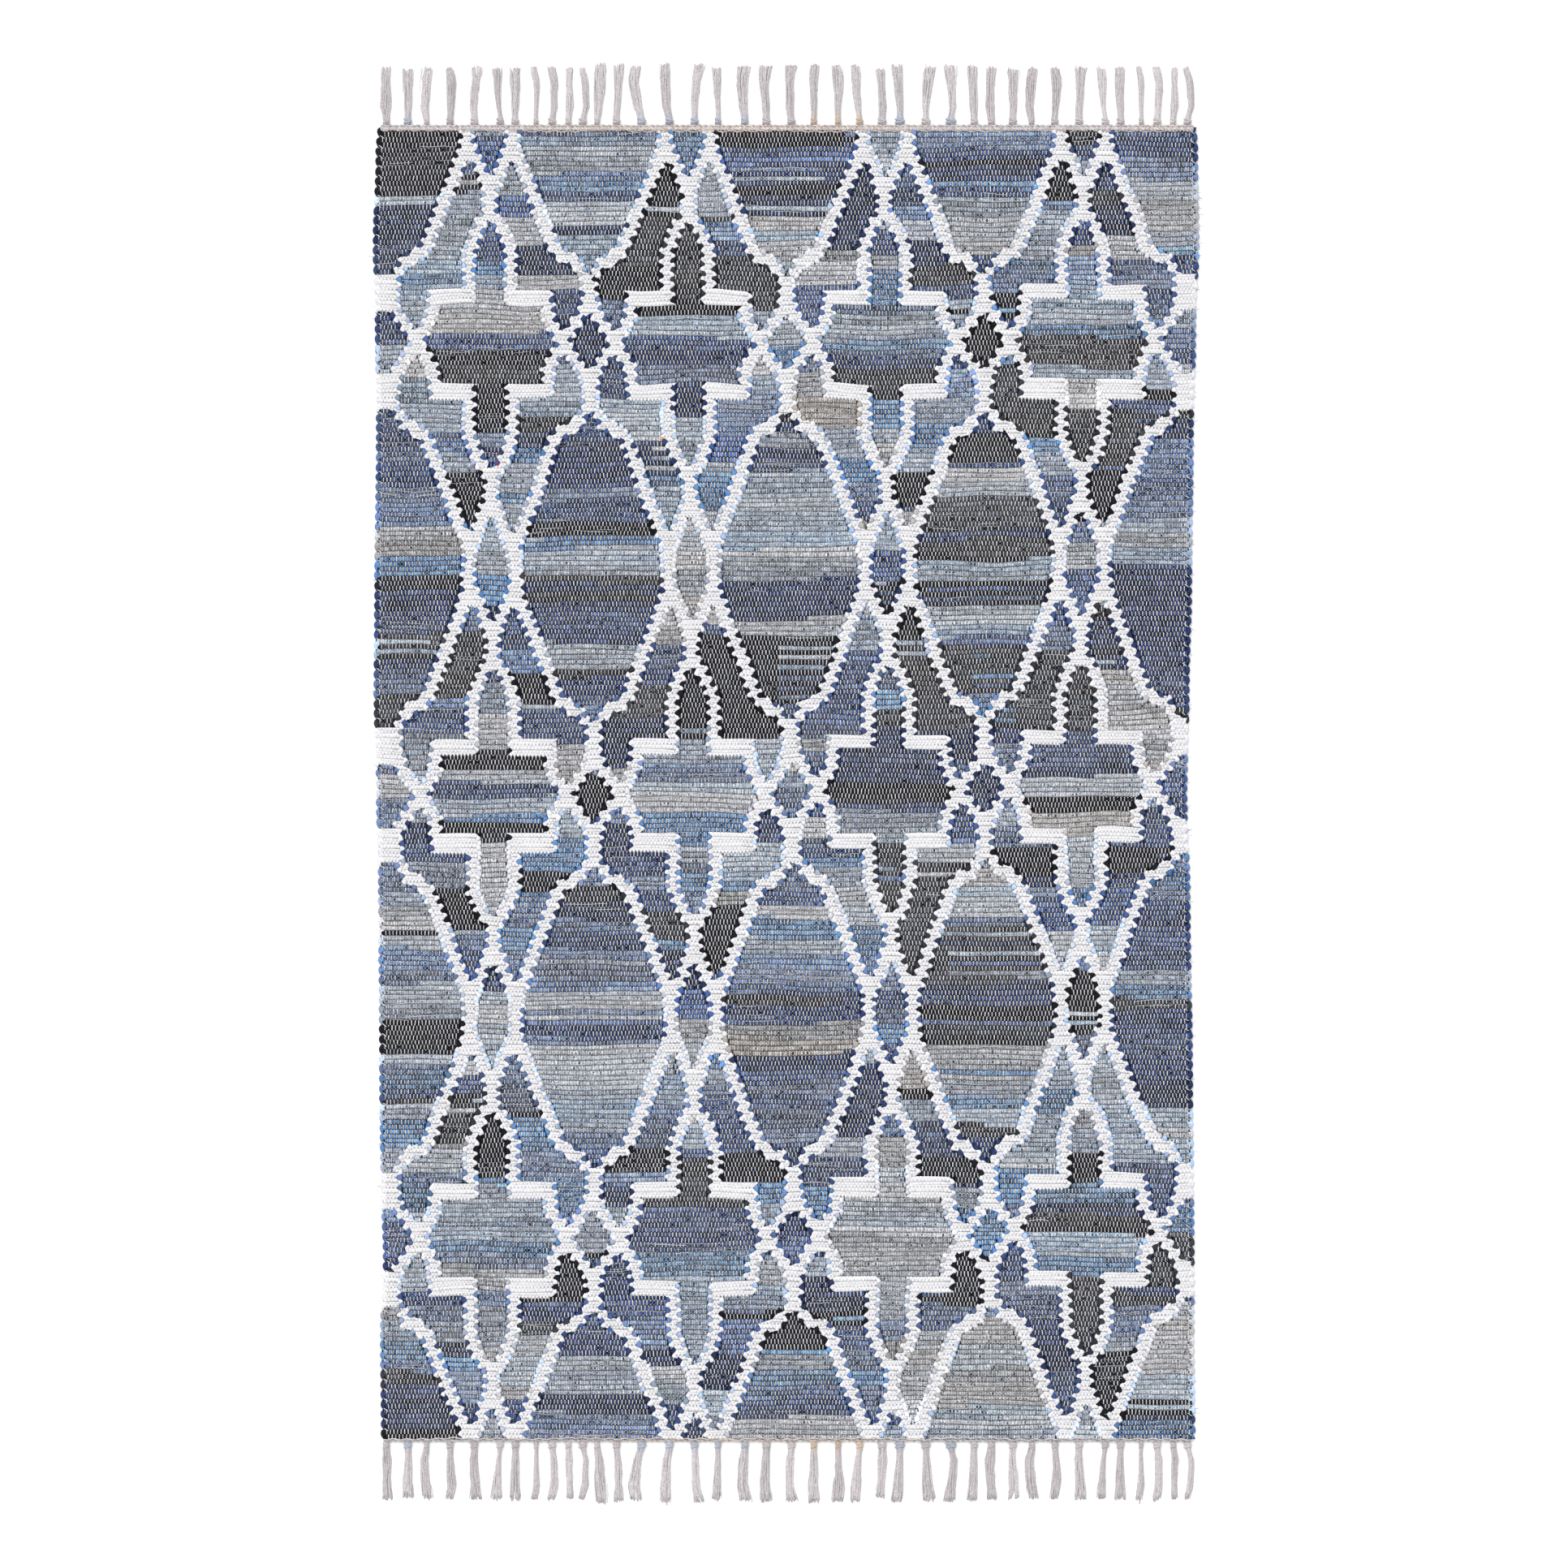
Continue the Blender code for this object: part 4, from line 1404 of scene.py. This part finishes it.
# %% Locks of the fringe
UPPER_YARNS = 9
LOWER_YARNS = 4
YARN_RADIUS = 0.92 * MM
STATIONS_ALONG = np.array([-1.5, 2, 6, 12, 19, 27, 35, 43, 51, 60]) * MM
BLUE_FEET = (1, 13, 14, 15, 16, 17, 24, 26)
RUSTY_FEET = (20, 21, 22)
FRINGE_TONE = np.array([0.575, 0.54, 0.56])
FOOT_BLUE = np.array([0.42, 0.47, 0.56])
FOOT_RUST = np.array([0.62, 0.49, 0.37])


def read_locks(node):
    """For each lock a table of distance from the heading, middle, half width and height."""
    points, stations = fringe_stations(node)
    outer = stations[1]
    tables = []
    for y in stations[2:7]:
        level = points[abs(points[:, 1] - y) < 0.05 * MM]
        feet = np.sort(level[level[:, 2] < 0.1 * MM, 0]).reshape(-1, 2)
        height = level[:, 2].max()
        tables.append([(y - outer, (a + b) / 2, (b - a) / 2, height) for a, b in feet])
    beyond = points[points[:, 1] > stations[6] + 1 * MM]
    low = beyond[beyond[:, 2] < 0.1 * MM]
    low = low[low[:, 0].argsort()].reshape(-1, 2, 3)
    height = beyond[:, 2].max()
    tables.append([(pair[0, 1] - outer, pair[:, 0].mean(), np.ptp(pair[:, 0]) / 2, height) for pair in low])
    return outer, np.array(tables).transpose(1, 0, 2)


Lock = namedtuple("Lock", "distance middle reach height tip foot light sway")
HEADING_REACH = 3 * MM
KNOT_HEIGHT = 3.6 * MM
FOOT_LENGTH = 9 * MM
FIBRES = 9
FIBRE_POINTS = 6
FIBRE_RADIUS = 0.28 * MM
WRAP_POINTS = 12
WRAP_SIDES = 5
WRAP_RADIUS = 1.1 * MM
WRAP_MIDDLE = 2.6 * MM


def settle_lock(table, number, dice):
    """A lock's course from inside the heading to its tip, with its own tones, light and sway."""
    distance = np.concatenate([[-HEADING_REACH, 0.0], table[:, 0]])
    middle = np.concatenate([[table[0, 1]] * 2, table[:, 1]])
    reach = np.concatenate([[table[0, 2] * 0.8] * 2, table[:, 2]])
    height = np.concatenate([[KNOT_HEIGHT] * 2, table[:, 3]])
    foot = FOOT_BLUE if number in BLUE_FEET else FOOT_RUST if number in RUSTY_FEET else FRINGE_TONE
    light = dice.uniform(0.9, 1.06)
    return Lock(distance, middle, reach, height, table[-1, 0], foot, light, dice.uniform(-0.5, 0.5, 3) * MM)


def lock_yarn(lock, yarn, dice):
    """Course, radii and tones of one yarn of a lock. Its course is x, distance from the heading, and height."""
    upper = yarn < UPPER_YARNS
    order = yarn if upper else yarn - UPPER_YARNS
    share = 2 * (order + 0.5) / (UPPER_YARNS if upper else LOWER_YARNS) - 1
    last = lock.tip + dice.normal(-0.8, 1.5) * MM
    s = np.concatenate([STATIONS_ALONG[STATIONS_ALONG < last - 4 * MM], [last]])
    while len(s) < len(STATIONS_ALONG) + 1:
        s = np.sort(np.append(s, (s[-1] + s[-2]) / 2))
    meander = dice.normal(0, 0.13, len(s)).cumsum()
    meander -= np.linspace(0, meander[-1] * 0.6, len(s))
    place = np.clip(share + meander * np.clip(s / (20 * MM), 0, 1), -1.08, 1.08)
    half = np.maximum(np.interp(s, lock.distance, lock.reach) - YARN_RADIUS * 0.6, 0.8 * MM)
    x = np.interp(s, lock.distance, lock.middle) + half * place
    x += lock.sway[0] * np.sin(s / 0.009 + lock.sway[1] * 4000)
    arch = 1 - 0.35 * place ** 2
    tall = np.interp(s, lock.distance, lock.height)
    z = tall * arch - YARN_RADIUS if upper else np.full(len(s), YARN_RADIUS)
    z = np.maximum(z + dice.normal(0, 0.07, len(s)) * MM, YARN_RADIUS * 1.15)
    radii = np.full(len(s), YARN_RADIUS) * dice.uniform(0.85, 1.15) * (1.0 if upper else 1.25)
    radii[-1] *= 0.7
    shade = lock.light * dice.uniform(0.93, 1.05)
    blend = np.clip(1 - s[:-1] / FOOT_LENGTH, 0, 1)[:, None]
    tone = FRINGE_TONE * (1 - blend) + lock.foot * blend
    return (x, s, z), radii, np.concatenate([tone * shade, np.ones((len(s) - 1, 1))], axis=1)


def lock_fibre(lock, dice):
    """Course and tone of one fine fibre that sticks out of a lock near its tip."""
    s = np.linspace(lock.tip * dice.uniform(0.45, 0.85), lock.tip + dice.uniform(-1, 1.8) * MM, FIBRE_POINTS)
    share = dice.uniform(-1.1, 1.1)
    x = np.interp(s, lock.distance, lock.middle) + share * np.interp(s, lock.distance, lock.reach)
    x += dice.normal(0, 0.5, FIBRE_POINTS).cumsum() * MM * 0.6
    z = np.linspace(1.6, 0.6, FIBRE_POINTS) * MM
    return (x, s, z), (*(FRINGE_TONE * dice.uniform(0.85, 1.15)), 1.0)


def lock_wrap(lock, wrap, dice):
    """Course and tone of one of the two wraps of a lock's knot, which lean towards each other."""
    side = wrap * 2 - 1
    turn = 2 * np.pi * np.arange(WRAP_POINTS) / WRAP_POINTS
    foot, x, half = lock.distance[2], lock.middle[2], lock.reach[2]
    x = x + (half - 1.0 * MM) * np.cos(turn)
    s = foot + side * 1.1 * MM - side * 0.9 * MM * np.cos(turn)
    z = WRAP_MIDDLE + 1.45 * MM * np.sin(turn)
    tone = FRINGE_TONE * 0.25 + lock.foot * 0.75
    return (x, s, z), (*(tone * lock.light * dice.uniform(0.85, 1.0)), 1.0)


def fringe_locks(name, node, end, dice):
    outer, locks = read_locks(node)
    yarns, fibres, wraps = [], [], []
    for number, table in enumerate(locks):
        lock = settle_lock(table, number, dice)
        yarns += [lock_yarn(lock, yarn, dice) for yarn in range(UPPER_YARNS + LOWER_YARNS)]
        fibres += [lock_fibre(lock, dice) for _ in range(FIBRES)]
        wraps += [lock_wrap(lock, wrap, dice) for wrap in range(2)]

    def laid(courses):
        return np.array([np.stack([x, end * (outer + s), z], axis=-1) for x, s, z in courses])

    courses, radii, tones = zip(*yarns)
    piece = yarn_piece(name, laid(courses), np.array(radii), 4, np.array(tones), yarn_look)
    courses, tones = zip(*fibres)
    paths = laid(courses)
    fine = yarn_piece(name + "_fibres", paths, np.full(paths.shape[:2], FIBRE_RADIUS), 3, tones, yarn_look)
    courses, tones = zip(*wraps)
    return [piece, fine, wrap_piece(name + "_knots", laid(courses), np.array(tones))]


def wrap_piece(name, rings, tones):
    """Wraps round the feet of the locks: closed rings that stand upright."""
    count = rings.shape[1]
    middle = rings.mean(axis=1, keepdims=True)
    out = rings - middle
    out /= np.linalg.norm(out, axis=2, keepdims=True)
    side = np.array([0.0, 1.0, 0.0])
    angle = 2 * np.pi * np.arange(WRAP_SIDES) / WRAP_SIDES
    spread = out[:, :, None, :] * np.cos(angle)[None, None, :, None]
    spread = spread + side[None, None, None, :] * np.sin(angle)[None, None, :, None]
    points = rings[:, :, None, :] + spread * WRAP_RADIUS
    start = (np.arange(len(rings)) * count * WRAP_SIDES)[:, None, None]
    here = start + (np.arange(count) * WRAP_SIDES)[None, :, None]
    ahead = start + (((np.arange(count) + 1) % count) * WRAP_SIDES)[None, :, None]
    k = np.arange(WRAP_SIDES)[None, None, :]
    n = (k + 1) % WRAP_SIDES
    quads = np.stack([here + k, here + n, ahead + n, ahead + k], axis=-1).reshape(-1, 4)
    piece = new_piece(name, points.reshape(-1, 3), [quads], yarn_look)
    add_colours(piece, "tone", np.repeat(tones, count * WRAP_SIDES * 4, axis=0))
    return piece


fringe_dice = np.random.default_rng(81)
fringe_pieces = fringe_locks("locks_far", "fringe_far", 1, fringe_dice)
fringe_pieces += fringe_locks("locks_near", "fringe_near", -1, fringe_dice)

# %% [markdown]
# Worn denim sheds its pale cotton threads. Over a thousand of them lie along the rows, mostly where the strips
# are light and frayed, and some bow out of the weave in small loops.

# %% Loose threads
THREADS = 1200
THREAD_POINTS = 6
thread_dice = np.random.default_rng(91)


def loose_threads():
    candidates = [
        (row, s) for row, stretches in enumerate(laid_rows) for s in stretches if not s.white and s.fray > 0.25
    ]
    weights = np.array([s.fray * max(s.low_end - s.low_start, 0) for _, s in candidates])
    chosen = thread_dice.choice(len(candidates), THREADS, p=weights / weights.sum())
    paths, tones = [], []
    for pick in chosen:
        row, s = candidates[pick]
        length = thread_dice.uniform(12, 55) * MM
        width = s.low_end - s.low_start
        start = s.low_start + thread_dice.uniform(0, 1) * max(width - length, 0)
        x = start + np.linspace(0, min(length, width), THREAD_POINTS)
        share = 0.5 + thread_dice.normal(0, 0.25) + thread_dice.normal(0, 0.10, THREAD_POINTS).cumsum()
        y = row_line(x, row) + (row_line(x, row + 1) - row_line(x, row)) * share
        z = CREST + (0.35 + 0.35 * abs(np.sin(np.linspace(0, thread_dice.uniform(2, 7), THREAD_POINTS)))) * MM
        z[[0, -1]] = CREST - 0.6 * MM
        paths.append(np.stack([x, y, z], axis=-1))
        tones.append((*(np.array([0.62, 0.63, 0.66]) * thread_dice.uniform(0.6, 1.2)), 1.0))
    return np.array(paths), np.array(tones)


thread_paths, thread_tones = loose_threads()
thread_radii = np.repeat(thread_dice.uniform(0.16, 0.30, (THREADS, 1)) * MM, THREAD_POINTS, axis=1)
threads = yarn_piece("loose_threads", thread_paths, thread_radii, 3, thread_tones, yarn_look)

# %% [markdown]
# Short ends of frayed thread stick out at the selvedges, more of them at the right one. Two scraps of coloured
# thread are caught in the weave, one orange and one red.

# %% Edge threads and flecks
EDGE_THREADS = 64
RIGHT_SHARE = 0.7
Fleck = namedtuple("Fleck", "x y red green blue")
FLECKS = [Fleck(-138.0, 384.6, 0.80, 0.36, 0.07), Fleck(-321.7, 355.7, 0.40, 0.02, 0.06)]


def frayed_edge(name):
    dice = np.random.default_rng(95)
    paths, tones = [], []
    for _ in range(EDGE_THREADS):
        side = 1 if dice.random() < RIGHT_SHARE else -1
        y = dice.uniform(0.02 - HALF_LENGTH, HALF_LENGTH - 0.02)
        edge = right_of(y) if side > 0 else left_of(y)
        length = dice.triangular(1.5, 3.0, 6.5) * MM
        t = np.linspace(0, 1, 5)
        x = edge + side * (t * (length + 3 * MM) - 3 * MM)
        drift = dice.uniform(-2.5, 2.5) * MM * t + dice.normal(0, 0.5, 5).cumsum() * MM
        z = (3.4 - 1.9 * t) * MM
        paths.append(np.stack([x, y + drift, z], axis=-1))
        light = dice.uniform(0.5, 1.1)
        tones.append((0.34 * light, 0.38 * light, 0.48 * light, 1.0))
    paths = np.array(paths)
    return yarn_piece(name, paths, np.full(paths.shape[:2], 0.26 * MM), 3, tones, yarn_look)


def coloured_flecks(name):
    paths, tones = [], []
    for fleck in FLECKS:
        for n in (-1, 0, 1):
            t = np.linspace(-1, 1, 4)
            x = fleck.x * MM + 1.7 * MM * t
            y = fleck.y * MM + (0.9 * n + 0.4 * t) * MM
            z = CREST + (0.6 - 0.9 * t ** 2) * MM
            paths.append(np.stack([x, y, z], axis=-1))
            tones.append((fleck.red, fleck.green, fleck.blue, 1.0))
    paths = np.array(paths)
    return yarn_piece(name, paths, np.full(paths.shape[:2], 0.6 * MM), 5, tones, yarn_look)


edge_threads = frayed_edge("edge_threads")
flecks = coloured_flecks("flecks")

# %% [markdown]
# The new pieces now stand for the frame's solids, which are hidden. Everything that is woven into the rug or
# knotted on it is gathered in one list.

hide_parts("woven_body")
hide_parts("fringe_far")
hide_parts("fringe_near")
with_pieces = [weft_near, weft_far, *bars, lattice_bumps, turns_denim, turns_cotton, edge_turns, edge_warps]
with_pieces += [heading_far, heading_near, *fringe_pieces, threads, edge_threads, flecks]

# %% Clear the selection
bpy.ops.object.select_all(action="DESELECT")
